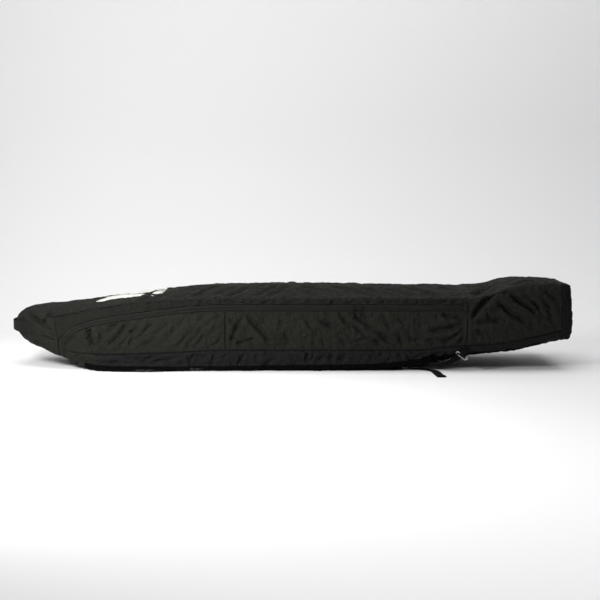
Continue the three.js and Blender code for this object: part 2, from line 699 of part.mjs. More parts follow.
function addHarness() {
  for (const [name, part] of [["harness_yoke", YOKE], ["lumbar_pad", LUMBAR]]) {
    const pad = block([part.from, -part.half, 0], [part.to, part.half, part.thick]);
    addMesh(name, pad, materials.padding);
  }
  for (const [name, side] of [["near", -1], ["far", 1]]) {
    addStrap(name, side);
    addRing(name, side);
  }
}

addBelly();
addSides();
addTail();
addZip();
addLid();
addPiping();
addMesh("nose_handle", noseHandle(), materials.webbing);
addMesh("tail_handle", tailHandle(), materials.webbing);
addSliders();
addHarness();
bag.position.x = CENTRING_X;

export default bag;
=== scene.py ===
import json
import math

import bmesh
import bpy
import numpy as np
from mathutils import Matrix, Vector, noise


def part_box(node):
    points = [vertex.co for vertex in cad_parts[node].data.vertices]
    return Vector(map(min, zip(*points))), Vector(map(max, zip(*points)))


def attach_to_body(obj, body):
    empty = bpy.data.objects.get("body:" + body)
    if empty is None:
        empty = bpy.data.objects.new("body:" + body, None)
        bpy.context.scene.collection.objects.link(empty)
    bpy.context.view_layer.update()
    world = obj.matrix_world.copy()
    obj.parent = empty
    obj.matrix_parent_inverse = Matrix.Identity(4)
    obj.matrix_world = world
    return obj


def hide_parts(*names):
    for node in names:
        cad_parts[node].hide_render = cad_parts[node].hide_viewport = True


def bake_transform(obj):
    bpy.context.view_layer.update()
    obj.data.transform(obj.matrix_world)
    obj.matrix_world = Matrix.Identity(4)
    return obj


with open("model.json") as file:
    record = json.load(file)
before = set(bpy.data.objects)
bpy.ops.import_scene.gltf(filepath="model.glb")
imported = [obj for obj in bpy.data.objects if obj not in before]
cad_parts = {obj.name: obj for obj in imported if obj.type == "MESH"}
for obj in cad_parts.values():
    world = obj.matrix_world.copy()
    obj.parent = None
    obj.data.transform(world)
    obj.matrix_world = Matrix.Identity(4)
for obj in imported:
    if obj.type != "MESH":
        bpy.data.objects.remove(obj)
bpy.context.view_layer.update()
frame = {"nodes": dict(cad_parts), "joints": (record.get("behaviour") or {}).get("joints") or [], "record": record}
# The bag is drawn from the point the CAD's seams are drawn from, and moved along by this at the end.
DRAWN_X = 0.018
JOINTS = {j["name"]: (j["pos_m"][0] - DRAWN_X, *j["pos_m"][1:]) for j in frame["joints"] if j.get("pos_m")}


def cad_box(node):
    """A CAD node's box, in the drawing's own place."""
    low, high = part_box(node)
    return (low[0] - DRAWN_X, *low[1:]), (high[0] - DRAWN_X, *high[1:])


# ---------------------------------------------------------------- the bag's shape (metres)
# Seams are numbered round the section from the middle of the belly to the crown.
# Minus numbers and numbers past the crown are the far side.
BELLY_EDGE, LOWER_SEAM, ZIP, FRONT_SEAM, CROWN = 1.0, 3.0, 4.5, 6.0, 7.0
FAR_FRONT_SEAM = 2 * CROWN - FRONT_SEAM
TIP_X, CAP_SEAM_X, CAP_CROWN_X, LEG_X, CORNER_X = -0.838, -0.704, -0.738, -0.681, -0.630
FRONT_SEAM_X, REAR_SEAM_X, END_SEAM_X, TAIL_X = -0.195, 0.505, 0.779, 0.803
HINGE_X, _, HINGE_Z = JOINTS["lid_hinge"]
ZIP_END_X, PAST_ZIP_X = 0.490, 0.52
CORNER_S, STRIP_S = 3.35, 3.6
UNDER_TAPE = 0.009


def through_knots(knots):
    """A smooth curve through [x, value] knots in millimetres that never overshoots; works in metres."""
    xs, vs = np.array(knots, float).T / 1000
    slopes = np.diff(vs) / np.diff(xs)
    before, after = slopes[:-1], slopes[1:]
    total = before + after
    inner = np.where(before * after > 0, 2 * before * after / np.where(total == 0, 1, total), 0)
    tangents = np.concatenate([[0], inner, [0]])

    def curve(x):
        x = np.clip(np.asarray(x, float), xs[0], xs[-1])
        i = np.clip(np.searchsorted(xs, x, side="right") - 1, 0, len(xs) - 2)
        h = xs[i + 1] - xs[i]
        u = (x - xs[i]) / h
        rise = u * u * (3 - 2 * u)
        bend = h * u * (1 - u) * (tangents[i] * (1 - u) - tangents[i + 1] * u)
        return vs[i] + (vs[i + 1] - vs[i]) * rise + bend

    return curve


half_width = through_knots([
    (-838, 34), (-828, 48), (-812, 66), (-793, 82), (-754, 105), (-702, 129), (-647, 146),
    (-563, 161), (-471, 171), (-350, 177), (-195, 180), (505, 180), (600, 178), (700, 173),
    (770, 168), (806, 164)])
belly_z = through_knots([
    (-838, 104), (-828, 92), (-812, 79), (-793, 68), (-754, 53), (-702, 38), (-664, 27), (-640, 17),
    (-615, 9), (-585, 4), (-520, 3), (-440, 3), (-370, 8), (-300, 13.6), (300, 13.6), (400, 24),
    (500, 42), (640, 58), (700, 70), (760, 83), (806, 90)])
lower_edge_z = through_knots([
    (-838, 109), (-828, 98), (-812, 86), (-793, 76), (-754, 62), (-702, 47), (-675, 41), (-641, 32),
    (-600, 24), (-563, 20), (-468, 19), (20, 25), (212, 28), (321, 37), (447, 51), (637, 66),
    (697, 78), (760, 90), (806, 98)])
lower_seam_z = through_knots([
    (-838, 115), (-828, 108), (-812, 102), (-778, 90), (-717, 70), (-675, 59), (-641, 52),
    (-557, 47), (-357, 54), (-195, 62), (364, 62), (447, 71), (628, 84), (708, 101), (806, 119)])
band_z = through_knots([
    (-838, 124), (-778, 117), (-717, 111), (-675, 104), (-641, 119), (-569, 142), (-420, 166),
    (-300, 181), (-195, 186), (505, 186), (640, 190), (806, 188)])
band_half = through_knots([(-838, 3), (-778, 8), (-717, 11), (-675, 12), (806, 12)])
front_seam_z = through_knots([
    (-838, 134), (-828, 141), (-812, 147), (-778, 152), (-704, 158), (-656, 166), (-600, 178),
    (-500, 195), (-420, 204), (-300, 210), (-195, 212), (505, 212), (560, 222), (610, 239),
    (670, 251), (740, 255), (806, 252)])
crown_z = through_knots([
    (-838, 150), (-828, 158), (-812, 166), (-793, 173), (-746, 182), (-673, 190), (-600, 197),
    (-515, 207), (-445, 216), (-344, 229), (-234, 238), (0, 242), (202, 239), (510, 236),
    (560, 238), (603, 243), (640, 252), (676, 260), (748, 257), (806, 256)])
# On the far side the top rises to the tail a little farther back, and less.
FAR_LAG, FAR_DROP = 0.020, 0.007
LAG_FROM_X, LAG_OVER, DROP_FROM_X, DROP_OVER = 0.20, 0.20, 0.50, 0.06
# How far the thin cloth under the lower band hangs below its seams, and stands out past them; this cloth is
# painted dark as shade.
droop = through_knots([(-700, 0), (-640, 4), (-560, 5), (-380, 9), (-300, 13), (250, 13), (420, 4), (520, 0)])
spread = through_knots([
    (-690, 0), (-620, 12), (-560, 36), (-430, 38), (-330, 18), (-150, 9), (250, 7), (420, 0)])

# How far each seam stands in from the half width, and how far each panel swells between seams.
SEAM_IN = {"belly_edge": 0.030, "lower_edge": 0.010, "lower_seam": 0.003, "front_seam": 0.004}
FULL_SECTION = 0.120
SWELL = [0.0, 0.002, 0.003, 0.005, 0.0, 0.003, 0.0]
LOWEST_SKIN = 0.0010


def skin(x, s):
    """Points of the outer surface at station x and seam number s (arrays of one shape)."""
    x, s = np.broadcast_arrays(np.asarray(x, float), np.asarray(s, float))
    t = np.where(s > CROWN, 2 * CROWN - s, np.abs(s))
    side = np.where((s > CROWN) | (s < 0), 1.0, -1.0)
    w = half_width(x)
    k = np.minimum(1, w / FULL_SECTION)
    ys = np.stack([0 * w, w - SEAM_IN["belly_edge"] * k, w - SEAM_IN["lower_edge"] * k,
                   w - SEAM_IN["lower_seam"] * k, w, w, w - SEAM_IN["front_seam"] * k, 0 * w])
    b, h = band_z(x), band_half(x)
    far = np.where(side > 0, np.clip((x - LAG_FROM_X) / LAG_OVER, 0, 1), 0)
    drop = FAR_DROP * far * np.clip((x - DROP_FROM_X) / DROP_OVER, 0, 1)
    shoulder = front_seam_z(x - FAR_LAG * far) - drop
    zs = np.stack([belly_z(x), belly_z(x), lower_edge_z(x), lower_seam_z(x), b - h, b + h,
                   shoulder, crown_z(x)])
    i = np.clip(np.floor(t).astype(int), 0, 6)
    u = t - i
    pick = lambda a, j: np.take_along_axis(a, j[None], 0)[0]
    y0, y1, z0, z1 = pick(ys, i), pick(ys, i + 1), pick(zs, i), pick(zs, i + 1)
    rise = np.where(i == 6, 1 - (1 - u) ** 2, u)
    y, z = y0 + (y1 - y0) * u, z0 + (z1 - z0) * rise
    # Panels swell a little between their seams, along the section's normal.
    length = np.hypot(y1 - y0, z1 - z0) + 1e-9
    swell = 4 * u * (1 - u) * np.array(SWELL)[i] * k
    y, z = y + swell * (z1 - z0) / length, z - swell * (y1 - y0) / length
    hang = np.where(i == 1, np.sin(math.pi * u), 0)
    y = y + spread(x) * hang**1.5
    z = np.where(i == 1, np.maximum(z - droop(x) * hang, LOWEST_SKIN), z)
    return np.stack([x, side * y, z], -1)


def outward(x, s):
    """Unit normal of the skin, out of the bag."""
    step_s, step_x = 0.04, 0.002
    across = skin(x, s + step_s) - skin(x, s - step_s)
    along = skin(x + step_x, s) - skin(x - step_x, s)
    n = np.cross(along, across)
    return n / (np.linalg.norm(n, axis=-1, keepdims=True) + 1e-12)


def unit(vectors):
    """The same directions, each of length 1."""
    return vectors / np.linalg.norm(vectors, axis=-1, keepdims=True)


def running_length(points):
    """Length along a line of points, from 0 at its first point."""
    steps = np.linalg.norm(np.diff(points, axis=0), axis=-1)
    return np.concatenate([[0], np.cumsum(steps)])


# ---------------------------------------------------------------- mesh helpers

def linked(name, data):
    """A new object in the scene for a mesh, a light or a camera."""
    obj = bpy.data.objects.new(name, data)
    bpy.context.scene.collection.objects.link(obj)
    return obj


def new_object(name, verts, faces, uvs=None):
    mesh = bpy.data.meshes.new(name)
    mesh.from_pydata([tuple(v) for v in verts], [], faces)
    obj = linked(name, mesh)
    if uvs is not None:
        mesh.uv_layers.new(name="cloth").data.foreach_set("uv", on_loops(obj, uvs))
    mesh.update()
    mesh.shade_smooth()
    return obj


def grid_uvs(points):
    """Arc lengths in metres along and across a grid, so that a weave keeps its scale."""
    rows, cols = points.shape[:2]
    v = running_length(points[rows // 2])
    u = running_length(points[:, cols // 2])
    return np.stack(np.meshgrid(u, v, indexing="ij"), -1).reshape(-1, 2)


def grid_faces(rows, cols, long, wide):
    """Quads of the first long rows and wide columns of a grid, which closes on itself past its end."""
    faces = []
    for i in range(long):
        here, ahead = i * cols, (i + 1) % rows * cols
        for j in range(wide):
            beside = (j + 1) % cols
            faces.append((here + j, ahead + j, ahead + beside, here + beside))
    return faces


def grid_object(name, points, wrap=False):
    """A sheet over a grid of points (rows, columns, 3); wrap closes it across the columns."""
    rows, cols = points.shape[:2]
    last = cols if wrap else cols - 1
    faces = grid_faces(rows, cols, rows - 1, last)
    return new_object(name, points.reshape(-1, 3), faces, grid_uvs(points))


def remember(obj, name, values):
    """Keeps a number for each point of the mesh, through later modifiers."""
    made = obj.data.attributes.new(name, "FLOAT", "POINT")
    made.data.foreach_set("value", np.asarray(values, np.float32).ravel())


def recall(obj, name):
    values = np.zeros(len(obj.data.vertices), np.float32)
    obj.data.attributes[name].data.foreach_get("value", values)
    return values.astype(float)


def vectors_of(obj, what):
    values = np.zeros(len(obj.data.vertices) * 3, np.float32)
    obj.data.vertices.foreach_get(what, values)
    return values.reshape(-1, 3).astype(float)


def co_of(obj):
    return vectors_of(obj, "co")


def set_co(obj, co):
    obj.data.vertices.foreach_set("co", np.asarray(co, np.float32).ravel())
    obj.data.update()


def on_loops(obj, values):
    """Values at the mesh's points, repeated for each corner of its faces."""
    loops = np.zeros(len(obj.data.loops), np.int32)
    obj.data.loops.foreach_get("vertex_index", loops)
    return np.asarray(values, np.float32)[loops].ravel()


def bake(obj):
    """Turns the object's modifiers into plain mesh."""
    depsgraph = bpy.context.evaluated_depsgraph_get()
    mesh = bpy.data.meshes.new_from_object(obj.evaluated_get(depsgraph))
    obj.modifiers.clear()
    obj.data = mesh
    return obj


def subdivide(obj):
    modifier = obj.modifiers.new("finer", "SUBSURF")
    modifier.levels = modifier.render_levels = 1
    modifier.boundary_smooth = "PRESERVE_CORNERS"
    return bake(obj)


def thicken(obj, thickness, inside_slot=None):
    """Gives a sheet its thickness inwards; the inner face may take another material slot."""
    modifier = obj.modifiers.new("cloth", "SOLIDIFY")
    modifier.thickness = thickness
    modifier.offset = -1
    if inside_slot is not None:
        modifier.material_offset = inside_slot
    return bake(obj)


# ---------------------------------------------------------------- cloth
LAST_FRAME = 16
FOLD_DEPTH, MOST_LIFT, MOST_SINK = 1.65, 0.0042, 0.018
BROAD, FINE, RIDGES, PUCKER = 0.0022, 0.0008, 0.0032, 0.0016
PUCKER_WIDTH, FULL_TUCK = 0.007, 0.0018


def settle(obj, pinned, grow, pressure, cap, bending=0.4):
    """Lets slightly oversize fabric buckle between its seams, and keeps each point within cap."""
    start = co_of(obj)
    group = obj.vertex_groups.new(name="seams")
    group.add([int(i) for i in np.flatnonzero(pinned)], 1.0, "REPLACE")
    cloth = obj.modifiers.new("cloth", "CLOTH")
    settings = cloth.settings
    settings.quality = 5
    settings.mass = 0.25
    settings.tension_stiffness = settings.compression_stiffness = 12
    settings.shear_stiffness = 4
    settings.bending_stiffness = bending
    settings.vertex_group_mass = "seams"
    settings.shrink_min = -grow
    settings.use_pressure = True
    settings.uniform_pressure_force = pressure
    settings.effector_weights.gravity = 0
    cloth.collision_settings.use_self_collision = False
    cloth.point_cache.frame_start, cloth.point_cache.frame_end = 1, LAST_FRAME
    scene = bpy.context.scene
    for f in range(1, LAST_FRAME + 1):
        scene.frame_set(f)
    bake(obj)
    scene.frame_set(1)
    moved = co_of(obj) - start
    size = np.linalg.norm(moved, axis=1, keepdims=True)
    moved *= cap * np.tanh(size / cap) / (size + 1e-9)
    set_co(obj, start + moved)
    obj.vertex_groups.clear()
    return obj


def noise_at(points, scale, seed, octaves=3):
    shift = Vector((seed * 3.1, seed * 1.7, seed * 2.3))
    scale = np.broadcast_to(scale, 3)
    return np.array([noise.fractal(Vector(p) + shift, 0.8, 2.1, octaves) for p in points * scale])


# A fold is a valley: its path, depth and width in metres; a minus depth is a ridge.
def fold_depth(flat, path, depth, width):
    path = np.asarray(path, float)
    best, along = np.full(len(flat), 1e9), np.zeros(len(flat))
    lengths = np.linalg.norm(np.diff(path, axis=0), axis=1)
    total, done = lengths.sum(), 0.0
    for a, b, length in zip(path[:-1], path[1:], lengths):
        t = np.clip(((flat - a) @ (b - a)) / length**2, 0, 1)
        d = np.linalg.norm(flat - (a + t[:, None] * (b - a)), axis=1)
        closer = d < best
        best = np.where(closer, d, best)
        along = np.where(closer, (done + t * length) / total, along)
        done += length
    fade = np.clip(np.sin(np.pi * np.clip(along, 0.03, 0.97)) * 1.8, 0, 1)
    # A valley with a low ridge beside it, which fades out at the path's ends.
    valley = -np.exp(-((best / width) ** 1.3))
    lips = 0.45 * np.exp(-(((best - 1.8 * width) / width) ** 2))
    return depth * fade * (valley + lips)


def press_folds(obj, folds, axes):
    """Presses folds into a piece; axes are the two coordinates a fold's path is drawn in."""
    co, n = co_of(obj), vectors_of(obj, "normal")
    total = FOLD_DEPTH * sum(fold_depth(co[:, axes], *fold) for fold in folds)
    most = np.where(total > 0, MOST_LIFT, MOST_SINK)
    total = most * np.tanh(total / most)
    set_co(obj, co + n * (total * recall(obj, "free"))[:, None])


def crumple(obj, seed):
    """Irregular creases away from the seams, puckers beside them, and edges turned in at them."""
    co, n = co_of(obj), vectors_of(obj, "normal")
    edge, free, tuck = recall(obj, "edge"), recall(obj, "free"), recall(obj, "tuck")
    ridged = 0.5 - np.abs(noise_at(co, (30, 40, 44), seed + 5, 3))
    wander = noise_at(co, 16, seed) * BROAD + noise_at(co, 70, seed + 7, 2) * FINE
    wander += (ridged - 0.35) * RIDGES
    gathers = noise_at(co, (115, 30, 12), seed + 3, 2) * PUCKER * (tuck / FULL_TUCK)
    gathers *= np.exp(-(((edge - 0.008) / PUCKER_WIDTH) ** 2))
    turned_in = -tuck * np.exp(-((edge / (0.95 * tuck + 0.0002)) ** 2))
    set_co(obj, co + n * (wander * free + gathers + turned_in)[:, None])


# ---------------------------------------------------------------- materials

def shader(name):
    material = bpy.data.materials.new(name)
    material.use_nodes = True
    tree = material.node_tree
    bsdf = tree.nodes["Principled BSDF"]
    return material, tree, bsdf


def made(tree, kind, values=(), **settings):
    """A shader node with its settings, and its sockets set to values or linked to other sockets."""
    result = tree.nodes.new(kind)
    for key, value in settings.items():
        setattr(result, key, value)
    for key, value in dict(values).items():
        if isinstance(value, bpy.types.NodeSocket):
            tree.links.new(value, result.inputs[key])
        else:
            result.inputs[key].default_value = value
    return result


def math_node(tree, operation, a, b=None):
    values = {0: a} if b is None else {0: a, 1: b}
    return made(tree, "ShaderNodeMath", values, operation=operation).outputs[0]


def ranged(tree, value, low, high):
    return made(tree, "ShaderNodeMapRange", {"Value": value, "To Min": low, "To Max": high}).outputs[0]


def scaled(tree, color, amount):
    return made(tree, "ShaderNodeVectorMath", {0: color, "Scale": amount}, operation="SCALE").outputs[0]


def noisy(tree, place, scale, detail, settings=(), **kind):
    """Noise at a place: its height from about 0 to 1."""
    values = {"Vector": place, "Scale": scale, "Detail": detail, **dict(settings)}
    return made(tree, "ShaderNodeTexNoise", values, **kind).outputs["Fac"]


def bumps(tree, bsdf, *layers):
    """Stacks bump layers of (height, distance in metres, strength)."""
    last = None
    for height, distance, strength in layers:
        values = {"Strength": strength, "Distance": distance, "Height": height}
        if last is not None:
            values["Normal"] = last
        last = made(tree, "ShaderNodeBump", values).outputs[0]
    tree.links.new(last, bsdf.inputs["Normal"])


def crinkles(tree):
    """Fine creases of nylon, from the piece's own coordinates."""
    place = made(tree, "ShaderNodeTexCoord").outputs["Object"]
    sharp = {"Roughness": 0.66, "Distortion": 1.1}
    ridged = noisy(tree, place, 60, 5, sharp, noise_type="RIDGED_MULTIFRACTAL")
    return place, ridged, noisy(tree, place, 14, 6, {"Roughness": 0.7})


def threads_of(tree, pitch, ribs, place=None):
    """Height of the weave: plain weave, or ribs along the cloth; drawn in metres."""
    if place is None:
        place = made(tree, "ShaderNodeUVMap", uv_map="cloth").outputs["UV"]
    waves = []
    for direction in ("X",) if ribs else ("X", "Y"):
        values = {"Vector": place, "Scale": math.pi / 10 / pitch, "Distortion": 0.4, "Detail": 1}
        wave = made(tree, "ShaderNodeTexWave", values, wave_type="BANDS", bands_direction=direction)
        waves.append(wave.outputs["Fac"])
    return waves[0] if ribs else math_node(tree, "MAXIMUM", *waves)


def finish(bsdf, values):
    for key, value in values.items():
        bsdf.inputs[key].default_value = value


def woven(name, color, pitch, rough=0.75, bump=0.4, ribs=False, crease=0.0060, on_uv=True, specular=0.10):
    """Black woven cloth: threads, creases, slow change of colour and roughness, and a little sheen; its colour is
    lighter on crease ridges and darker beside them, as painted highlight and painted shade.
    """
    material, tree, bsdf = shader(name)
    place, ridged, slow = crinkles(tree)
    threads = threads_of(tree, pitch, ribs, None if on_uv else place)
    amount = math_node(tree, "MULTIPLY", ranged(tree, slow, 0.64, 1.36), ranged(tree, threads, 0.7, 1.12))
    # The colour follows the crease noise: painted highlight on the ridges and painted shade beside them.
    amount = math_node(tree, "MULTIPLY", amount, ranged(tree, ridged, 0.76, 1.20))
    tree.links.new(scaled(tree, color, amount), bsdf.inputs["Base Color"])
    tree.links.new(ranged(tree, slow, rough - 0.1, rough + 0.12), bsdf.inputs["Roughness"])
    bumps(tree, bsdf, (ridged, crease, 0.9), (threads, pitch * 0.4, bump))
    sheen = {"Sheen Weight": 0.004, "Sheen Roughness": 0.4, "Sheen Tint": (1, 1, 0.95, 1)}
    finish(bsdf, {"Specular IOR Level": specular, **sheen})
    return material


def printed(name, color, ink):
    """The front panel's nylon with a plain white print: a slanted block and a row of bars."""
    material = woven(name, color, 0.0011)
    tree = material.node_tree
    bsdf = tree.nodes["Principled BSDF"]
    cloth = bsdf.inputs["Base Color"].links[0].from_socket
    flat = made(tree, "ShaderNodeUVMap", uv_map="place").outputs["UV"]
    x, y, _ = made(tree, "ShaderNodeSeparateXYZ", {0: flat}).outputs

    def times(a, b):
        return math_node(tree, "MULTIPLY", a, b)

    def within(value, low, high):
        return times(math_node(tree, "GREATER_THAN", value, low), math_node(tree, "LESS_THAN", value, high))

    slanted = math_node(tree, "ADD", x, times(y, PRINT_SLANT))
    block = times(within(slanted, *PRINT_BLOCK_X), within(y, *PRINT_BLOCK_Y))
    slit = math_node(tree, "ADD", y, times(x, PRINT_SLIT_SLOPE))
    block = times(block, math_node(tree, "SUBTRACT", 1.0, within(slit, *PRINT_SLIT)))
    wave = math_node(tree, "FRACT", times(y, 1 / PRINT_BAR_PITCH))
    bars = times(within(wave, *PRINT_BAR_SHARE), within(x, *PRINT_BAR_X))
    bars = times(bars, within(y, *PRINT_BAR_Y))
    mask = math_node(tree, "MAXIMUM", block, bars)
    worn = times(mask, ranged(tree, noisy(tree, flat, 900, 3), 0.82, 1.0))
    mix = made(tree, "ShaderNodeMix", {"Factor": worn}, data_type="RGBA")
    tree.links.new(cloth, mix.inputs["A"])
    mix.inputs["B"].default_value = (*ink, 1)
    tree.links.new(mix.outputs["Result"], bsdf.inputs["Base Color"])
    return material


def solid(name, color, rough, metal=0.0, vary=0.15, scale=160, specular=0.5):
    """Moulded plastic or plated metal: fine mottling, worn roughness and a light bump."""
    material, tree, bsdf = shader(name)
    grain = noisy(tree, made(tree, "ShaderNodeTexCoord").outputs["Object"], scale, 6)
    tree.links.new(scaled(tree, color, ranged(tree, grain, 1 - vary, 1 + vary)), bsdf.inputs["Base Color"])
    tree.links.new(ranged(tree, grain, rough * 0.8, min(1, rough * 1.3)), bsdf.inputs["Roughness"])
    bumps(tree, bsdf, (grain, 0.0004, 0.05))
    finish(bsdf, {"Metallic": metal, "Specular IOR Level": specular})
    return material


PRINT_BLOCK_X, PRINT_BLOCK_Y, PRINT_SLIT = (-0.560, -0.428), (-0.078, 0.095), (-0.285, -0.268)
PRINT_BAR_X, PRINT_BAR_Y, PRINT_BAR_PITCH = (-0.420, -0.386), (-0.100, 0.112), 0.030
PRINT_SLANT, PRINT_SLIT_SLOPE, PRINT_BAR_SHARE = -0.35, 0.55, (0.22, 0.78)
NYLON = (0.0142, 0.0140, 0.0113)
MATERIALS = {
    "fabric": woven("nylon_fabric", NYLON, 0.0011),
    "front": printed("printed_nylon", NYLON, (0.72, 0.71, 0.67)),
    # The strip between the front seam and the zip: the sides' nylon darkened as painted shade for the overhang of
    # the front panel above it.
    "strip": woven("strip_fabric_painted_shade", (0.0108, 0.0107, 0.0087), 0.0011),
    "lower": woven("coated_fabric", (0.0098, 0.0098, 0.0103), 0.0011),
    # The tail's end panel: the nylon darkened as painted shade, for the end turned away from the light.
    "end": woven("end_fabric_painted_shade", (0.0062, 0.0062, 0.0070), 0.0011),
    # Near-black cloth of the underside: painted shade for the dark under the bag.
    "belly": woven("belly_fabric_painted_shade", (0.0024, 0.0024, 0.0027), 0.0014, specular=0.03),
    "lining": woven("lining_taffeta", (0.017, 0.017, 0.018), 0.0008, rough=0.6, crease=0.0006, specular=0.15),
    # Black webbing, darkened further as painted shade for where it lies in the shadow under the bag.
    "webbing": woven("webbing_rib", (0.0042, 0.0042, 0.0047), 0.0022, bump=0.9, ribs=True, crease=0.0002),
    "padding": woven("padding_mesh", (0.0090, 0.0090, 0.0095), 0.0030, rough=0.8, bump=0.8, on_uv=False),
    "piping": woven("piping_bias", (0.0120, 0.0120, 0.0110), 0.0012, crease=0.0003),
    "tape": woven("zip_tape_weave", (0.0160, 0.0158, 0.0130), 0.0012, bump=0.5, ribs=True, crease=0.0002),
    "grip": woven("nose_webbing_rib", (0.0130, 0.0129, 0.0108), 0.0026, bump=0.9, ribs=True, crease=0.0006),
    "coil": solid("zip_coil_nylon", (0.008, 0.008, 0.008), 0.38),
    "slider": solid("black_enamel", (0.005, 0.005, 0.005), 0.40, specular=0.2),
    "nickel": solid("bright_nickel", (0.55, 0.54, 0.52), 0.28, metal=1.0, vary=0.05),
    "buckle": solid("black_acetal", (0.008, 0.008, 0.009), 0.42),
    "thread": solid("sewing_thread", (0.011, 0.011, 0.010), 0.65, scale=900),
}


# The looks of the slots whose look has another name.
LOOKS = {"lower_fabric": "lower", "foam": "lining", "zip_tape": "tape", "zip_coil": "coil"}


def dress(obj, *names):
    obj.data.materials.clear()
    for name in names:
        obj.data.materials.append(MATERIALS[name])


# ---------------------------------------------------------------- shell panels
SIDES = (("near", 1), ("far", -1))
CELL = 0.006
ON_FLOOR = 0.0008
LEAD = np.array([0.0, 0.0012, 0.0028, 0.0055])
# Cloth nearer an edge than the first of these is held by its seam; folds grow from the second on.
HELD, FOLDS_FROM, FOLDS_OVER = 0.003, 0.004, 0.014
BASE_LONG = 1.449


def spaced(length):
    """Grid lines from 0 to 1, closer together beside the seams at both ends."""
    count = max(2, int(round((length - 2 * LEAD[-1]) / CELL)))
    inner = np.linspace(LEAD[-1], length - LEAD[-1], count + 1)
    return np.concatenate([LEAD[:-1], inner, (length - LEAD[:-1])[::-1]]) / length


def span(points, axis):
    lengths = np.linalg.norm(np.diff(points, axis=axis), axis=-1).sum(axis=axis)
    return lengths.max()


def beside_zip(offset, start_s, end_x):
    """A line beside the zip: plus is towards the lid. It starts on the leg at a seam number."""
    leg = np.linspace(0, CORNER_S, 90)
    a = np.linspace(0, math.pi / 2, 50)[1:]
    run = np.linspace(CORNER_X, PAST_ZIP_X, 600)[1:]
    x = np.concatenate([np.full(len(leg), LEG_X), LEG_X + (CORNER_X - LEG_X) * (1 - np.cos(a)), run])
    s = np.concatenate([leg, CORNER_S + (ZIP - CORNER_S) * np.sin(a), np.full(len(run), ZIP)])
    per_s = np.linalg.norm(skin(x, s + 0.02) - skin(x, s - 0.02), axis=-1) / 0.04
    dx, ds = np.gradient(x), np.gradient(s) * per_s
    size = np.hypot(dx, ds)
    x, s = x - offset * ds / size, s + offset * dx / size / per_s
    keep = (s >= start_s) & (x <= end_x)
    return x[keep], s[keep]


def as_curve(x, s):
    """A line as a function of u from 0 to 1, by length."""
    length = running_length(skin(x, s))
    length /= length[-1]
    return lambda u: (np.interp(u, length, x), np.interp(u, length, s))


def straight(x0, x1, s):
    return lambda u: (x0 + (x1 - x0) * u, np.full_like(u, s))


def turned(curve, sign):
    """The same line on the near side (1) or the far side (-1)."""
    return lambda u: (curve(u)[0], sign * curve(u)[1])


def ruled(low, high, u, v, sign=1):
    """Points between two lines on one side of the bag; the far side's columns run the other way."""
    (x0, s0), (x1, s1) = turned(low, sign)(u), turned(high, sign)(u)
    v = v[None, :]
    points = skin(x0[:, None] * (1 - v) + x1[:, None] * v, s0[:, None] * (1 - v) + s1[:, None] * v)
    return points[:, ::sign]


def sew(name, points, u, v, *, seed, grow, pressure, cap, folds=(), axes=(0, 2), wrap=False,
        pin_ends=(True, True), tucks=(0.0022, 0.0022), end_tuck=0.0014):
    """One panel: its grid, buckled by simulation, then folded, crumpled and turned in at its seams."""
    obj = grid_object(name, points, wrap=wrap)
    long, wide = span(points, 0), span(points, 1)
    row = np.minimum(u if pin_ends[0] else 1, (1 - u) if pin_ends[1] else 1) * long
    edge = np.broadcast_to(row[:, None], points.shape[:2])
    tuck = np.full(edge.shape, end_tuck)
    if not wrap:
        remember(obj, "across", np.broadcast_to(v, edge.shape))
        across = (np.minimum(v, 1 - v) * wide)[None, :]
        tuck = np.where(across < edge, np.interp(v, (0.4, 0.6), tucks)[None, :], tuck)
        edge = np.minimum(edge, across)
    remember(obj, "edge", edge)
    remember(obj, "tuck", tuck)
    remember(obj, "free", np.clip((edge - FOLDS_FROM) / FOLDS_OVER, 0, 1) ** 1.5)
    settle(obj, (edge < HELD).ravel(), grow=grow, pressure=pressure, cap=cap)
    subdivide(obj)
    if folds:
        press_folds(obj, folds, list(axes))
    crumple(obj, seed)
    co = co_of(obj)
    co[:, 2] = np.maximum(co[:, 2], ON_FLOOR)
    set_co(obj, co)
    return obj


def line_with(obj, cloth, thickness):
    """A panel's cloth outside, its thickness, and lining inside."""
    dress(obj, cloth, "lining")
    thicken(obj, thickness, inside_slot=1)


def placed(x, y, z):
    """A place of the drawing, in the shared frame."""
    return (x + DRAWN_X, y, z)


def attach(obj, body, nodes, slot_name, bend=False):
    """Moves a piece to its place, where it rides its body; with bend, it is only set in place and rides no body.

    A piece that has no look yet takes its slot's.
    """
    if not obj.data.materials:
        dress(obj, LOOKS.get(slot_name, slot_name))
    obj.data.transform(Matrix.Translation((DRAWN_X, 0, 0)))
    if bend:
        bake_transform(obj)
    else:
        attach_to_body(obj, body)
    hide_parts(*nodes)
    return obj


def in_metres(rows):
    """Folds from rows of a depth, a width, and the path's coordinates in turn, in millimetres."""
    folds = []
    for depth, width, *path in rows:
        points = [(a / 1000, b / 1000) for a, b in zip(path[::2], path[1::2])]
        folds.append((points, depth / 1000, width / 1000))
    return folds


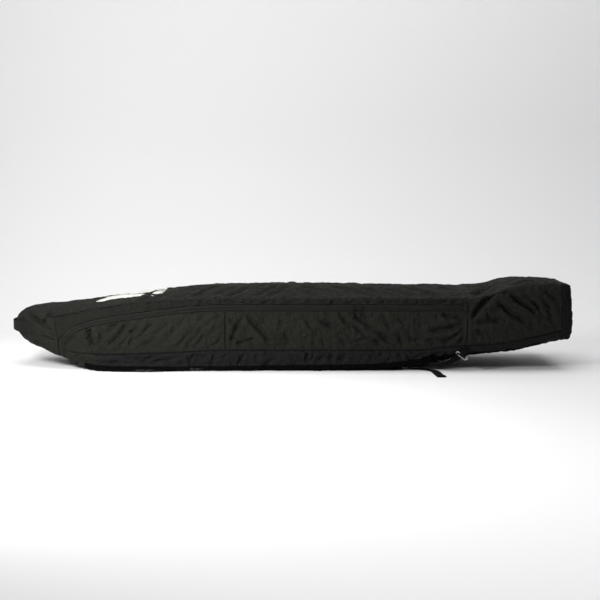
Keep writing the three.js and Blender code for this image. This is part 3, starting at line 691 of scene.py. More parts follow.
# Folds of the side in (x, z).
NOSE_FOLDS = in_metres([
    (16, 8, -592, 160, -598, 130, -591, 100, -580, 70),
    (-5, 12, -621, 118, -618, 85),
    (6, 8, -474, 142, -500, 105, -540, 71),
    (4, 8, -440, 148, -465, 112, -503, 73),
    (5, 8, -400, 153, -430, 115, -474, 77),
    (5, 7, -503, 148, -545, 108),
    (2.5, 10, -300, 160, -345, 118, -372, 85),
    (4, 6, -203, 100, -222, 80, -240, 68),
    (2.5, 9, -203, 140, -235, 110, -270, 90),
])
MID_FOLDS = in_metres([
    (7.5, 7, -135, 168, -100, 130, -60, 80),
    (5.5, 7, -150, 155, -172, 108, -181, 68),
    (5, 6, -186, 68, -150, 86, -105, 96),
    (3.5, 6, -188, 158, -166, 135, -150, 118),
    (3.5, 6, -188, 100, -165, 90, -140, 70),
    (5.5, 7, 135, 168, 165, 140, 204, 110),
    (7.5, 7, 169, 170, 227, 128, 296, 79),
    (4, 6, 198, 170, 225, 145, 255, 122),
    (2.5, 8, 20, 160, 72, 120),
    (8.5, 8, 502, 140, 455, 128, 395, 120),
    (6.5, 7, 502, 147, 465, 160, 420, 166),
    (7.5, 7, 502, 130, 468, 106, 440, 82),
    (6, 6, 500, 120, 485, 95, 478, 78),
])
TAIL_FOLDS = in_metres([
    (13, 8, 509, 148, 535, 182, 578, 229),
    (-6, 12, 530, 160, 560, 188, 598, 216),
    (8.5, 8, 509, 140, 560, 147, 605, 150),
    (7, 8, 509, 130, 550, 110, 600, 100),
    (6, 6, 509, 120, 528, 100, 545, 86),
    (-10, 11, 606, 214, 645, 186, 695, 157),
    (8.5, 6, 595, 200, 630, 170, 672, 144),
    (11, 6, 628, 220, 665, 196, 706, 168),
    (4.5, 7, 655, 226, 690, 205, 718, 180),
    (5, 8, 725, 236, 770, 205),
    (4, 9, 730, 205, 745, 170, 752, 145),
    (4.5, 8, 560, 225, 590, 236, 620, 235),
])


def scatter(count, seed, box, angle, spread, depth):
    """Short seeded creases inside a box, leaning at about the same angle."""
    rng = np.random.default_rng(seed)
    (x0, z0), (x1, z1) = box
    folds = []
    for _ in range(count):
        middle = np.array([rng.uniform(x0, x1), rng.uniform(z0, z1)])
        lean = angle + rng.normal(0, spread)
        half = rng.uniform(0.014, 0.034) * np.array([math.cos(lean), math.sin(lean)])
        bow = rng.uniform(-0.005, 0.005) * np.array([-math.sin(lean), math.cos(lean)])
        path = [tuple(middle - half), tuple(middle + bow), tuple(middle + half)]
        folds.append((path, rng.uniform(0.4, 1.0) * depth, rng.uniform(0.004, 0.008)))
    return folds


NOSE_FOLDS += scatter(26, 3, ((-0.60, 0.07), (-0.21, 0.16)), 0.85, 0.30, 0.0030)
MID_FOLDS += scatter(46, 5, ((-0.17, 0.07), (0.49, 0.165)), -0.65, 0.35, 0.0032)
TAIL_FOLDS += scatter(22, 7, ((0.53, 0.11), (0.77, 0.235)), -0.6, 0.5, 0.0030)


# The far side's folds lie this much farther back than the near side's.
FAR_FOLDS_ON = 0.023


def shifted(folds, dx):
    return [([(x + dx, z) for x, z in path], depth, width) for path, depth, width in folds]


def side_panels():
    under = LEG_X + UNDER_TAPE
    parts = {
        "nose": (straight(under, FRONT_SEAM_X, LOWER_SEAM),
                 as_curve(*beside_zip(-UNDER_TAPE, LOWER_SEAM, FRONT_SEAM_X)), 0.48, 0.112, NOSE_FOLDS),
        "mid": (straight(FRONT_SEAM_X, REAR_SEAM_X, LOWER_SEAM),
                straight(FRONT_SEAM_X, REAR_SEAM_X, ZIP - 0.375), 0.70, 0.116, MID_FOLDS),
        "tail": (straight(REAR_SEAM_X, END_SEAM_X, LOWER_SEAM),
                 straight(REAR_SEAM_X, END_SEAM_X, FRONT_SEAM), 0.272, 0.150, TAIL_FOLDS)}
    for side, sign in SIDES:
        for k, (name, (low, high, long, wide, folds)) in enumerate(parts.items()):
            u, v = spaced(long), spaced(wide)
            if sign < 0:
                folds = shifted(folds, FAR_FOLDS_ON)
            obj = sew(f"side_fabric_{side}_{name}", ruled(low, high, u, v, sign), u, v,
                      seed=11 + k + sign, grow=0.022, pressure=0.5, cap=0.006, folds=folds)
            line_with(obj, "fabric", 0.005)
            attach(obj, "base", [f"side_panel_{side}_{name}"], "fabric")


# Ahead of these stations the lower bands are of the sides' cloth, underneath and above; behind them the cloth
# underneath is painted dark as shade.
NOSE_CLOTH_UNDER_X, NOSE_CLOTH_X = -0.610, -0.575


def lower_bands():
    u, v = spaced(BASE_LONG), spaced(0.064)
    for side, sign in SIDES:
        low, high = (straight(LEG_X + UNDER_TAPE, END_SEAM_X, s) for s in (BELLY_EDGE, LOWER_SEAM))
        creases = scatter(34, 20 + sign, ((-0.64, 0.028), (0.50, 0.058)), 1.30, 0.35, 0.0034)
        creases += scatter(20, 25 + sign, ((-0.60, 0.025), (0.50, 0.055)), 0.25, 0.25, 0.0030)
        obj = sew(f"lower_band_fabric_{side}", ruled(low, high, u, v, sign), u, v,
                  seed=21 + sign, grow=0.03, pressure=0.3, cap=0.003, folds=creases)
        # Faces underneath take the underside's painted shade (the belly look), and faces at the nose the sides'
        # cloth.
        dress(obj, "lower", "belly", "fabric", "lining", "lining", "lining")
        x = co_of(obj)[:, 0]
        under = sign * (recall(obj, "across") - 0.5) < -0.001
        nose = x < np.where(under, NOSE_CLOTH_UNDER_X, NOSE_CLOTH_X)
        for face in obj.data.polygons:
            corners = list(face.vertices)
            face.material_index = 2 if nose[corners].all() else int(under[corners].all())
        thicken(obj, 0.0025, inside_slot=3)
        attach(obj, "base", [f"lower_band_{side}"], "lower_fabric")


def seam_bindings():
    """The bound seam allowances inside the lower seams."""
    for side, sign in SIDES:
        x, s = line(LEG_X + 0.004, END_SEAM_X - 0.002, sign * LOWER_SEAM, 300)
        shape = [(-0.007, -0.0052), (-0.003, -0.0040), (0.003, -0.0040), (0.007, -0.0052)]
        obj = strip_on(f"seam_binding_{side}", x, s, shape)
        thicken(obj, 0.0010)
        attach(obj, "base", [], "lining")


def belly():
    u, v = spaced(BASE_LONG), spaced(0.30)
    low, high = (straight(LEG_X + UNDER_TAPE, END_SEAM_X, s) for s in (-BELLY_EDGE, BELLY_EDGE))
    obj = sew("belly_fabric_painted_shade", ruled(low, high, u, v), u, v, seed=31, grow=0.006, pressure=0.1, cap=0.002)
    # The belly's cloth is painted near black as shade under the bag.
    line_with(obj, "belly", 0.009)
    attach(obj, "base", ["back_panel", "back_foam", "back_lining"], "lower_fabric")


def front_edge(s):
    """Station of the nose cap's rear seam across the top."""
    u = np.clip(1 - np.abs(np.asarray(s) - CROWN), 0, 1)
    return CAP_SEAM_X + (CAP_CROWN_X - CAP_SEAM_X) * (1 - (1 - u) ** 2)


def top_folds():
    """Folds of the top in (x, y): a row from each long seam, leaning apart, and short creases."""
    rng = np.random.default_rng(17)
    rows = ((np.arange(-0.46, -0.02, 0.055), 0.12, (0.45, 0.7), (0.009, 0.014)),
            (np.arange(0.02, 0.46, 0.05), 0.13, (-0.5, -1.1), (0.008, 0.013)))
    folds = []
    for starts, longest, (half_lean, lean), widths in rows:
        for x in starts:
            x += rng.uniform(-0.015, 0.015)
            reach = rng.uniform(0.06, longest)
            path = [(x, -0.160), (x + half_lean * reach, -0.160 + 0.6 * reach),
                    (x + lean * reach, -0.160 + 1.1 * reach)]
            folds.append((path, rng.uniform(0.0025, 0.0055), rng.uniform(*widths)))
    mirrored = [([(x + 0.03, -y) for x, y in path], depth, width) for path, depth, width in folds]
    return folds + mirrored + scatter(40, 23, ((-0.6, -0.14), (0.48, 0.14)), 0.5, 0.9, 0.0028)


def front_panel():
    long, wide = REAR_SEAM_X - CAP_CROWN_X, 0.352
    u, v = spaced(long), spaced(wide)
    s = np.broadcast_to(FRONT_SEAM + (FAR_FRONT_SEAM - FRONT_SEAM) * v[None, :], (len(u), len(v)))
    start = front_edge(s)
    points = skin(start + (REAR_SEAM_X - start) * u[:, None], s)
    obj = sew("front_panel_fabric", points, u, v, seed=41, grow=0.015, pressure=0.02, cap=0.0015,
              folds=top_folds(), axes=(0, 1), tucks=(0.0060, 0.0060))
    obj.data.uv_layers.new(name="place").data.foreach_set("uv", on_loops(obj, co_of(obj)[:, :2]))
    line_with(obj, "front", 0.009)
    attach(obj, "lid", ["front_panel", "front_foam", "front_lining"], "fabric", bend=True)


def front_strips():
    u, v = spaced(1.22), spaced(0.024)
    low_line = as_curve(*beside_zip(UNDER_TAPE, STRIP_S, REAR_SEAM_X))
    high_line = straight(CAP_SEAM_X, REAR_SEAM_X, FRONT_SEAM)
    for side, sign in SIDES:
        points = ruled(low_line, high_line, u, v, sign)
        puckers = scatter(90, 30 + sign, ((-0.66, 0.19), (0.49, 0.215)), 1.3, 0.4, 0.0018)
        obj = sew(f"front_strip_fabric_{side}", points, u, v, seed=51 + sign, grow=0.025, pressure=0.3,
                  cap=0.003, folds=puckers, tucks=(0.0024, 0.0060)[::sign], end_tuck=0.0007)
        # The strip's cloth is darkened with painted shade for the overhang above it.
        line_with(obj, "strip", 0.004)
        attach(obj, "lid", [f"front_strip_{side}"], "fabric", bend=True)


def cap_rear(s):
    """Station of the nose cap's rear seam at each seam number, round the whole section."""
    t = np.where(s > CROWN, 2 * CROWN - s, s)
    leg = LEG_X - UNDER_TAPE
    side = leg + (CAP_SEAM_X - leg) * np.clip((t - STRIP_S) / (FRONT_SEAM - STRIP_S), 0, 1)
    return np.where(t < FRONT_SEAM, side, front_edge(t))


CAP_FOLDS = in_metres([
    (17, 9, -724, 188, -717, 176, -712, 162, -704, 150),
    (8, 6, -718, 165, -728, 146, -736, 130),
    (10, 7, -730, 130, -757, 141, -777, 152, -800, 160),
    (4, 6, -736, 128, -720, 118, -705, 114),
    (3.5, 3.5, -752, 99, -720, 92, -688, 82),
    (3, 3.5, -775, 79, -748, 73, -718, 64),
    (3.5, 6, -790, 115, -770, 100, -752, 86),
    (3, 6, -715, 108, -702, 98, -695, 80),
])


def nose_cap():
    cols = 160
    s = np.linspace(0, 2 * CROWN, cols, endpoint=False)
    rear = cap_rear(s)
    u = np.concatenate([np.linspace(0, 0.96, 32) ** 1.2, [0.975, 0.988, 1.0]])
    x = TIP_X + (rear[None, :] - TIP_X) * u[:, None]
    points = skin(x, np.broadcast_to(s, x.shape))
    middle = points[0].mean(0)
    rings = []
    for shrink, ahead in ((0.04, 0.0046), (0.35, 0.0042), (0.62, 0.0033), (0.84, 0.0018)):
        ring = middle + (points[0] - middle) * shrink
        ring[:, 0] = TIP_X - ahead
        rings.append(ring)
    points = np.concatenate([np.array(rings), points])
    u = np.concatenate([[0, 0.01, 0.02, 0.03], 0.04 + 0.96 * u])
    obj = sew("nose_cap_fabric", points, u, None, seed=61, grow=0.015, pressure=0.3, cap=0.0022,
              folds=CAP_FOLDS, wrap=True, pin_ends=(False, True), end_tuck=0.0006)
    line_with(obj, "fabric", 0.003)
    attach(obj, "lid", ["nose_cap"], "fabric")


TAIL_TOP_FOLDS = in_metres([
    (6, 12, 520, -150, 560, -110, 600, -80),
    (4, 12, 530, -60, 570, -30, 610, -20),
    (5, 12, 640, -150, 690, -110, 740, -90),
    (5, 12, 560, 140, 610, 90, 660, 70),
    (4, 12, 520, 80, 550, 50, 570, 10),
])


def tail_top():
    u, v = spaced(0.275), spaced(0.350)
    low, high = (straight(REAR_SEAM_X, END_SEAM_X, s) for s in (FRONT_SEAM, FAR_FRONT_SEAM))
    creases = scatter(20, 73, ((0.53, -0.14), (0.76, 0.14)), 0.6, 0.8, 0.003)
    obj = sew("tail_top_fabric", ruled(low, high, u, v), u, v, seed=71, grow=0.015, pressure=0.02,
              cap=0.0015, folds=TAIL_TOP_FOLDS + creases, axes=(0, 1))
    line_with(obj, "fabric", 0.005)
    attach(obj, "base", ["tail_top_panel", "hinge_hem"], "fabric")


def tail_end():
    """The tail's end: rings close together behind its seam, round its corner, then to its middle."""
    s = np.linspace(0, 2 * CROWN, 200, endpoint=False)
    behind = np.array([0, 0.0012, 0.003, 0.007, 0.012])
    rings = [skin(np.full_like(s, END_SEAM_X + step), s) for step in behind]
    outline = skin(np.full_like(s, TAIL_X), s)
    middle = outline.mean(0)
    for inset, ahead in ((0.0005, -0.003), (0.002, 0.0), (0.005, 0.0022), (0.010, 0.0034)):
        reach = np.linalg.norm(outline - middle, axis=1, keepdims=True)
        ring = middle + (outline - middle) * (1 - inset / reach)
        ring[:, 0] = TAIL_X + ahead
        rings.append(ring)
    for shrink in (0.9, 0.84, 0.77, 0.69, 0.6, 0.5, 0.4, 0.3, 0.2, 0.1, 0.01):
        ring = middle + (outline - middle) * shrink
        ring[:, 0] = TAIL_X + 0.0042
        rings.append(ring)
    points = np.array(rings)
    # It bulges a little, low down.
    points[4:, :, 0] += 0.0045 * np.exp(-(((points[4:, :, 2] - 0.128) / 0.032) ** 2))
    u = np.linspace(0, 1, len(points))
    u[:len(behind)] = behind / span(points, 0)
    creases = scatter(14, 77, ((-0.14, 0.11), (0.14, 0.24)), 1.2, 0.6, 0.003)
    obj = sew("tail_end_fabric", points, u, None, seed=75, grow=0.012, pressure=0.2, cap=0.003,
              wrap=True, pin_ends=(True, False), folds=creases, axes=(1, 2))
    # The end panel's cloth is darkened as painted shade.
    line_with(obj, "end", 0.003)
    attach(obj, "base", ["tail_end_panel"], "lower_fabric")


# ---------------------------------------------------------------- zip and sewing

def frame_along(x, s):
    """Position, outward normal, tangent and width direction along a line on the skin."""
    p, n = skin(x, s), outward(x, s)
    t = unit(np.gradient(p, axis=0))
    w = unit(np.cross(n, t))
    return p, np.cross(t, w), t, w


def resample(x, s, step):
    length = running_length(skin(x, s))
    u = np.linspace(0, length[-1], max(2, int(length[-1] / step)))
    return np.interp(u, length, x), np.interp(u, length, s)


def strip_on(name, x, s, profile, step=0.006):
    """A strip along a line on the skin; profile is (across, up) points of its cross-section."""
    x, s = resample(x, s, step)
    p, n, _, w = frame_along(x, s)
    across, up = np.array(profile, float).T
    points = p[:, None] + w[:, None] * across[None, :, None] + n[:, None] * up[None, :, None]
    return grid_object(name, points)


def whole_zip():
    """The zip's centre line from its far tail end, round under the nose, to its near tail end."""
    x, s = beside_zip(0, 0, ZIP_END_X)
    return np.concatenate([x[::-1], x[1:]]), np.concatenate([-s[::-1], s[1:]])


def zips():
    x, s = whole_zip()
    flat = ((0.0024, -0.0002), (0.0050, -0.0001), (0.0074, -0.0003), (0.0081, -0.0012), (0.0086, -0.0028),
            (0.0120, -0.0040))
    # The base tape's lip runs under the lid's, so that nothing shows between them.
    lips = {"base": ((-0.0007, -0.0026), (0.0008, -0.0022)), "lid": ((0.0002, -0.0012), (0.0009, -0.0008))}
    for body, sign in (("base", -1), ("lid", 1)):
        profile = [(sign * a, b) for a, b in lips[body] + flat][::sign]
        obj = strip_on(f"zip_tape_{body}", x, s, profile, step=0.004)
        thicken(obj, 0.0008)
        attach(obj, body, [f"zip_tape_{body}_{part}" for part in ("near", "far", "nose")], "zip_tape")
        coil(body, sign, x, s)


TOOTH_PITCH = 0.0030
# A tooth's section (along, up), and its stations from the zip's middle outwards (across, up), in mm.
TOOTH_SECTION = [(-0.55, 0.1), (-0.3, 0.7), (0.3, 0.7), (0.55, 0.1), (0.3, -0.5), (-0.3, -0.5)]
TOOTH_STOPS = [(0.10, -0.7), (0.5, -0.4), (1.0, -0.4), (1.6, -0.9)]


def coil(body, sign, x, s):
    """Half of the zip's coil: a row of rounded loops sewn to the tape."""
    p, n, t, w = frame_along(*resample(x, s, TOOTH_PITCH))
    ring, stops = np.array(TOOTH_SECTION) / 1000, np.array(TOOTH_STOPS) / 1000
    count = len(ring)
    base = p + t * (0.5 * TOOTH_PITCH if sign > 0 else 0.0)
    verts, faces = [], []
    for i in range(len(base)):
        start = len(verts)
        for across, high in stops:
            for along, up in ring:
                verts.append(base[i] + t[i] * along + w[i] * sign * across + n[i] * (up + high))
        for j in range(len(stops) - 1):
            for k in range(count):
                a, b = start + j * count + k, start + j * count + (k + 1) % count
                faces.append((a, b, b + count, a + count)[::sign])
        faces.append(tuple(start + k for k in range(count))[::-sign])
        faces.append(tuple(len(verts) - count + k for k in range(count))[::sign])
    obj = new_object(f"zip_coil_{body}", verts, faces)
    attach(obj, body, [f"zip_coil_{body}_near", f"zip_coil_{body}_far"], "zip_coil")


def both(x, s):
    """A line and its mirror image on the far side."""
    return [(x, s), (x, 2 * CROWN - s if (s >= FRONT_SEAM).all() else -s)]


STITCH_PITCH = 0.0046
STITCH_HALF = np.array([0.0014, 0.0004, 0.0005])


def stitch_rows(body, rows):
    """Rows of single stitches, each a small flattened bead of thread."""
    verts, faces = [], []
    belt = [(-1, 0), (0, 1), (1, 0)]
    corners = [(along, *side) for along in (-0.5, 0.5) for side in belt]
    along, wide, up = (np.array([(-1, 0, 0), *corners, (1, 0, 0)]) * STITCH_HALF).T[..., None]
    sides = [(0, 2, 1), (0, 3, 2), (1, 2, 5, 4), (2, 3, 6, 5), (4, 5, 7), (5, 6, 7), (0, 1, 4, 7, 6, 3)]
    for x, s in rows:
        p, n, t, w = frame_along(*resample(x, s, STITCH_PITCH))
        for i in range(len(p)):
            start = len(verts)
            middle = p[i] + n[i] * STITCH_HALF[2]
            verts += list(middle + along * t[i] + wide * w[i] + up * n[i])
            faces += [tuple(start + k for k in face) for face in sides]
    obj = new_object(f"stitches_{body}", verts, faces)
    dress(obj, "thread")
    attach(obj, body, [], "piping")


def line(x0, x1, s, count=120):
    return np.linspace(x0, x1, count), np.full(count, float(s))


def upright(x, s0, s1, count=30):
    return np.full(count, float(x)), np.linspace(s0, s1, count)


def sewing():
    """The rows of stitches beside the seams."""
    base = both(*beside_zip(-0.0125, LOWER_SEAM, ZIP_END_X))
    lid = both(*beside_zip(0.0125, STRIP_S, ZIP_END_X - 0.02))
    for s in (LOWER_SEAM + 0.035, LOWER_SEAM - 0.13):
        base += both(*line(LEG_X + 0.015, END_SEAM_X - 0.003, s, 300))
    for x in (FRONT_SEAM_X + 0.004, FRONT_SEAM_X - 0.004):
        base += both(*upright(x, LOWER_SEAM, ZIP - 0.5))
    for x in (REAR_SEAM_X + 0.004, END_SEAM_X - 0.004, END_SEAM_X + 0.004):
        base += both(*upright(x, LOWER_SEAM, FRONT_SEAM))
        base.append(upright(x, FRONT_SEAM, FAR_FRONT_SEAM, 60))
    stitch_rows("base", base)
    for s in (FRONT_SEAM - 0.16, FRONT_SEAM + 0.03):
        lid += both(*line(CAP_SEAM_X + 0.004, HINGE_X - 0.037, s, 300))
    across = np.linspace(FRONT_SEAM, FAR_FRONT_SEAM, 80)
    for beside in (0.004, -0.004):
        lid.append((front_edge(across) + beside, across))
    stitch_rows("lid", lid)


def pipings():
    radius = 0.0016
    cord = [(radius * math.cos(a), radius * math.sin(a) - radius) for a in np.linspace(0, 2 * math.pi, 11)]
    for side, s_line in (("near", FRONT_SEAM), ("far", FAR_FRONT_SEAM)):
        x, s = line(CAP_SEAM_X, HINGE_X - 0.004, s_line, 200)
        obj = strip_on(f"front_piping_cord_{side}", x, s, cord)
        attach(obj, "lid", [f"front_piping_{side}"], "piping", bend=True)


def zip_stops():
    """Folded fabric ends sewn over each tail end of the zip."""
    for side, sign in SIDES:
        x, s = line(ZIP_END_X + 0.001, ZIP_END_X + 0.013, sign * ZIP, 3)
        half = [(-0.0125, -0.001), (-0.0120, 0.0012), (-0.006, 0.0018)]
        shape = half + [(0, 0.0019)] + [(-across, up) for across, up in half[::-1]]
        obj = strip_on(f"zip_end_{side}", x, s, shape, step=0.002)
        thicken(obj, 0.0015)
        attach(obj, "base", [f"zip_stop_{side}"], "fabric")


# ---------------------------------------------------------------- webbing

def catmull(values, u):
    """A smooth curve through evenly numbered values."""
    values = np.asarray(values, float)
    i = np.clip(np.floor(u).astype(int), 0, len(values) - 2)
    f = u - i
    a, b, c, d = (values[np.clip(i + k, 0, len(values) - 1)] for k in (-1, 0, 1, 2))
    return 0.5 * (2 * b + (c - a) * f + (2 * a - 5 * b + 4 * c - d) * f**2 + (3 * b - a - 3 * c + d) * f**3)


# Half of a strap's section, from one edge to the other, of half width 1 and half thickness 1.
HALF_SECTION = np.array([
    (-1, 0), (-0.985, 0.75), (-0.93, 1), (-0.5, 1), (0, 1), (0.5, 1), (0.93, 1), (0.985, 0.75)])
STRAP_SECTION = np.concatenate([HALF_SECTION, -HALF_SECTION])


def webbing(name, points, halves, thick, fine=8):
    """A flat woven strap through points, with its half width vector at each."""
    count = fine * (len(points) - 1) + 1
    u = np.linspace(0, len(points) - 1, count)
    p, h = (np.stack([catmull(column, u) for column in np.asarray(a, float).T], -1) for a in (points, halves))
    t = unit(np.gradient(p, axis=0))
    half = np.linalg.norm(h, axis=1, keepdims=True)
    w = h / half
    n = unit(np.cross(t, w))
    wide, up = STRAP_SECTION[None, :, :1], STRAP_SECTION[None, :, 1:]
    grid = p[:, None] + w[:, None] * (wide * half[:, None]) + n[:, None] * (up * thick / 2)
    obj = grid_object(name, grid, wrap=True)
    close_ends(obj, len(STRAP_SECTION), count)
    return obj


def close_ends(obj, ring, count):
    """Caps the first and last of count rings, if there are any, and turns all faces outwards."""
    bm = bmesh.new()
    bm.from_mesh(obj.data)
    bm.verts.ensure_lookup_table()
    for start in (0, (count - 1) * ring) if count else ():
        bm.faces.new([bm.verts[start + k] for k in range(ring)])
    bmesh.ops.recalc_face_normals(bm, faces=bm.faces)
    bm.to_mesh(obj.data)
    bm.free()


def merged(name, *objs):
    """Joins pieces into the first one, under a new name."""
    bpy.ops.object.select_all(action="DESELECT")
    for obj in objs:
        obj.select_set(True)
    bpy.context.view_layer.objects.active = objs[0]
    bpy.ops.object.join()
    objs[0].name = name
    return objs[0]


def nose_handle():
    """A wide webbing loop on its edge round the nose's tip."""
    z, tip_x, bend_x, reach_y = 0.120, -0.8500, -0.790, 0.0885
    feet = [(x, float(half_width(x)) + proud) for x, proud in ((-0.762, 0.0010), (-0.772, 0.0012))]
    side = feet + [(-0.781, 0.0925)]
    a = np.linspace(math.pi / 2, -math.pi / 2, 13)
    loop = [(bend_x - (bend_x - tip_x) * math.cos(v), reach_y * math.sin(v)) for v in a]
    path = side + loop + [(x, -y) for x, y in side[::-1]]
    # From 0 at its turn to 1 over 40 mm, towards its feet and towards its tip.
    foot = [min(1, max(0, (x + 0.80) / 0.04)) for x, y in path]
    tip = [min(1, max(0, (-x - 0.80) / 0.04)) for x, y in path]
    points = [(x, y, z - 0.004 * f + 0.0025 * k) for (x, y), f, k in zip(path, foot, tip)]
    halves = [(0, 0, 0.0185 - 0.0040 * k) for k in tip]
    obj = webbing("nose_handle_webbing", points, halves, 0.0026)
    dress(obj, "grip")
    attach(obj, "lid", ["nose_handle"], "webbing")


def tail_handle():
    """A webbing loop sewn flat to the tail's end at both feet, standing off it between them."""
    low, high = cad_box("tail_handle")
    foot, middle_z, half_z = high[1], (low[2] + high[2]) / 2, (high[2] - low[2]) / 2
    flat, out = TAIL_X + 0.0062, high[0] + 0.0012
    side = [(flat, foot), (flat, foot - 0.024), (out, foot - 0.052), (out + 0.0005, foot * 0.4)]
    path = side + [(out + 0.0005, 0)] + [(x, -y) for x, y in side[::-1]]
    points = [(x, y, middle_z) for x, y in path]
    obj = webbing("tail_handle_webbing", points, [(0, 0, half_z)] * len(points), 0.0028)
    attach(obj, "base", ["tail_handle"], "webbing")


# ---------------------------------------------------------------- harness

def pillow(name, path, low, high):
    """A closed flat cushion along a path of (x, y, half width), with rounded edges and ends."""
    path = np.asarray(path, float)
    count, around = 12 * (len(path) - 1) + 1, 40
    u = np.linspace(0, len(path) - 1, count)
    x, y, half = (catmull(path[:, k], u) for k in range(3))
    middle = np.stack([x, y], -1)
    t = unit(np.gradient(middle, axis=0))
    length = running_length(middle)
    from_end = np.minimum(length, length[-1] - length)
    grown = np.sqrt(np.clip(1 - (1 - np.clip(from_end / 0.022, 0, 1)) ** 2, 0.02, 1))
    a = np.linspace(0, 2 * math.pi, around, endpoint=False)
    across = np.sign(np.cos(a)) * np.abs(np.cos(a)) ** 0.35
    up = np.sign(np.sin(a)) * np.abs(np.sin(a)) ** 0.55
    side = np.stack([-t[:, 1], t[:, 0]], -1)
    flat = middle[:, None] + side[:, None] * (half * grown)[:, None, None] * across[None, :, None]
    z = (low + high) / 2 + (high - low) / 2 * up[None, :] * np.sqrt(grown)[:, None]
    obj = grid_object(name, np.concatenate([flat, z[..., None]], -1), wrap=True)
    close_ends(obj, around, count)
    return obj


def stuff(obj, low, high):
    """Remeshes a cushion and puffs it up as cloth, kept between two heights."""
    modifier = obj.modifiers.new("even", "REMESH")
    modifier.mode, modifier.voxel_size = "VOXEL", 0.005
    bake(obj)
    settle(obj, np.zeros(len(obj.data.vertices)), grow=0.03, pressure=4, cap=0.004, bending=1.0)
    co = co_of(obj)
    co[:, 2] = np.clip(co[:, 2], low, high)
    set_co(obj, co)
    subdivide(obj)


STRAP_Z, STRAP_HALF = 0.0013, 0.0125
PAD_PATH = [(-0.160, 0.078, 0.029), (-0.060, 0.088, 0.030), (0.080, 0.104, 0.030), (0.220, 0.122, 0.027),
            (0.308, 0.130, 0.021)]
TAIL_PATH = [(0.330, 0.132), (0.350, 0.134), (0.370, 0.137), (0.391, 0.147), (0.406, 0.166), (0.412, 0.190),
             (0.414, 0.225), (0.416, 0.252), (0.418, 0.279)]


def flat_halves(points, half):
    """Half width vectors of a strap that lies flat, across its path."""
    t = unit(np.gradient(np.asarray(points, float)[:, :2], axis=0))
    return [(-ty * half, tx * half, 0) for tx, ty in t]


def harness():
    for name, node, reach, count in (("yoke_pad", "harness_yoke", 0.136, 5),
                                     ("lumbar_cushion", "lumbar_pad", 0.056, 4)):
        low, high = cad_box(node)
        middle, half = (low[0] + high[0]) / 2, (high[0] - low[0]) / 2 - 0.004
        pad = pillow(name, [(middle, y, half) for y in np.linspace(-reach, reach, count)], 0.0008, 0.0128)
        stuff(pad, 0.0004, 0.0130)
        attach(pad, "base", [node], "padding")
    for side, sign in (("near", -1), ("far", 1)):
        path = [(x, sign * y, half) for x, y, half in PAD_PATH]
        pad = pillow(f"shoulder_cushion_{side}", path, 0.0024, 0.0120)
        stuff(pad, 0.0022, 0.0123)
        attach(pad, f"strap_{side}", [f"shoulder_pad_{side}"], "padding")
        spine = [(x, sign * y, STRAP_Z) for x, y, _ in PAD_PATH] + [(0.322, sign * 0.131, 0.003)]
        strap = webbing(f"pad_webbing_{side}", spine, flat_halves(spine, STRAP_HALF), 0.0018)
        attach(strap, f"strap_{side}", [], "webbing")
        tail_points = [(x, sign * y, STRAP_Z + (0.003 if x < 0.34 else 0.0)) for x, y in TAIL_PATH]
        spare = webbing(f"spare_webbing_{side}", tail_points, flat_halves(tail_points, STRAP_HALF), 0.0020)
        before, tip = np.array(tail_points[-2:])
        hem = [tuple(tip - (tip - before) * k + (0, 0, 0.0022)) for k in (0.62, 0.31, 0.0)]
        fold = webbing(f"spare_hem_{side}", hem, flat_halves(hem, 0.0123), 0.0020)
        spare = merged(f"spare_webbing_{side}", spare, fold)
        attach(spare, f"strap_{side}", [f"webbing_tail_{side}"], "webbing")
        ladder_lock(side)
        lower_webbing(side, sign)
        ring(side, sign)


def ladder_lock(side):
    low, high = (np.array(v) for v in cad_box(f"ladder_lock_{side}"))
    middle = (low + high) / 2
    long, wide, tall = high - low
    rail = 0.0045
    bars = [((-long / 2 + 0.002, 0, 0.0), (0.004, wide, 0.005)),
            ((0.0, 0, -0.0006), (0.0036, wide, 0.004)),
            ((long / 2 - 0.003, 0, 0.0008), (0.006, wide, 0.0046))]
    rails = [((0, way * (wide - rail) / 2, 0), (long, rail, tall)) for way in (-1, 1)]
    obj = boxes(f"ladder_lock_frame_{side}", [(middle + c, size) for c, size in bars + rails], 0.0010)
    attach(obj, f"strap_{side}", [f"ladder_lock_{side}"], "buckle")


def boxes(name, parts, bevel):
    """One mesh of rounded boxes, each (middle, size)."""
    bm = bmesh.new()
    for middle, size in parts:
        made_box = bmesh.ops.create_cube(bm, size=1)
        bmesh.ops.scale(bm, vec=Vector(size), verts=made_box["verts"])
        bmesh.ops.translate(bm, vec=Vector(middle), verts=made_box["verts"])
    mesh = bpy.data.meshes.new(name)
    bm.to_mesh(mesh)
    bm.free()
    obj = linked(name, mesh)
    modifier = obj.modifiers.new("rounded", "BEVEL")
    modifier.width, modifier.segments, modifier.limit_method = bevel, 2, "NONE"
    bake(obj)
    obj.data.shade_smooth()
    return obj


RING_DROP = 0.0125


def ring_frame(sign):
    """Middle of the ring's bar, along the bar, up the tab, and the way the ring hangs."""
    middle = np.array(JOINTS["ring_near_swing" if sign < 0 else "ring_far_swing"])
    tilt, tuck = 0.61, 0.9
    along = np.array([math.cos(tilt), 0, -math.sin(tilt)])
    up = np.array([math.sin(tilt), 0, math.cos(tilt)])
    hang = -up * math.cos(tuck) + np.array([0, -sign, 0]) * math.sin(tuck)
    return middle, along, up, hang


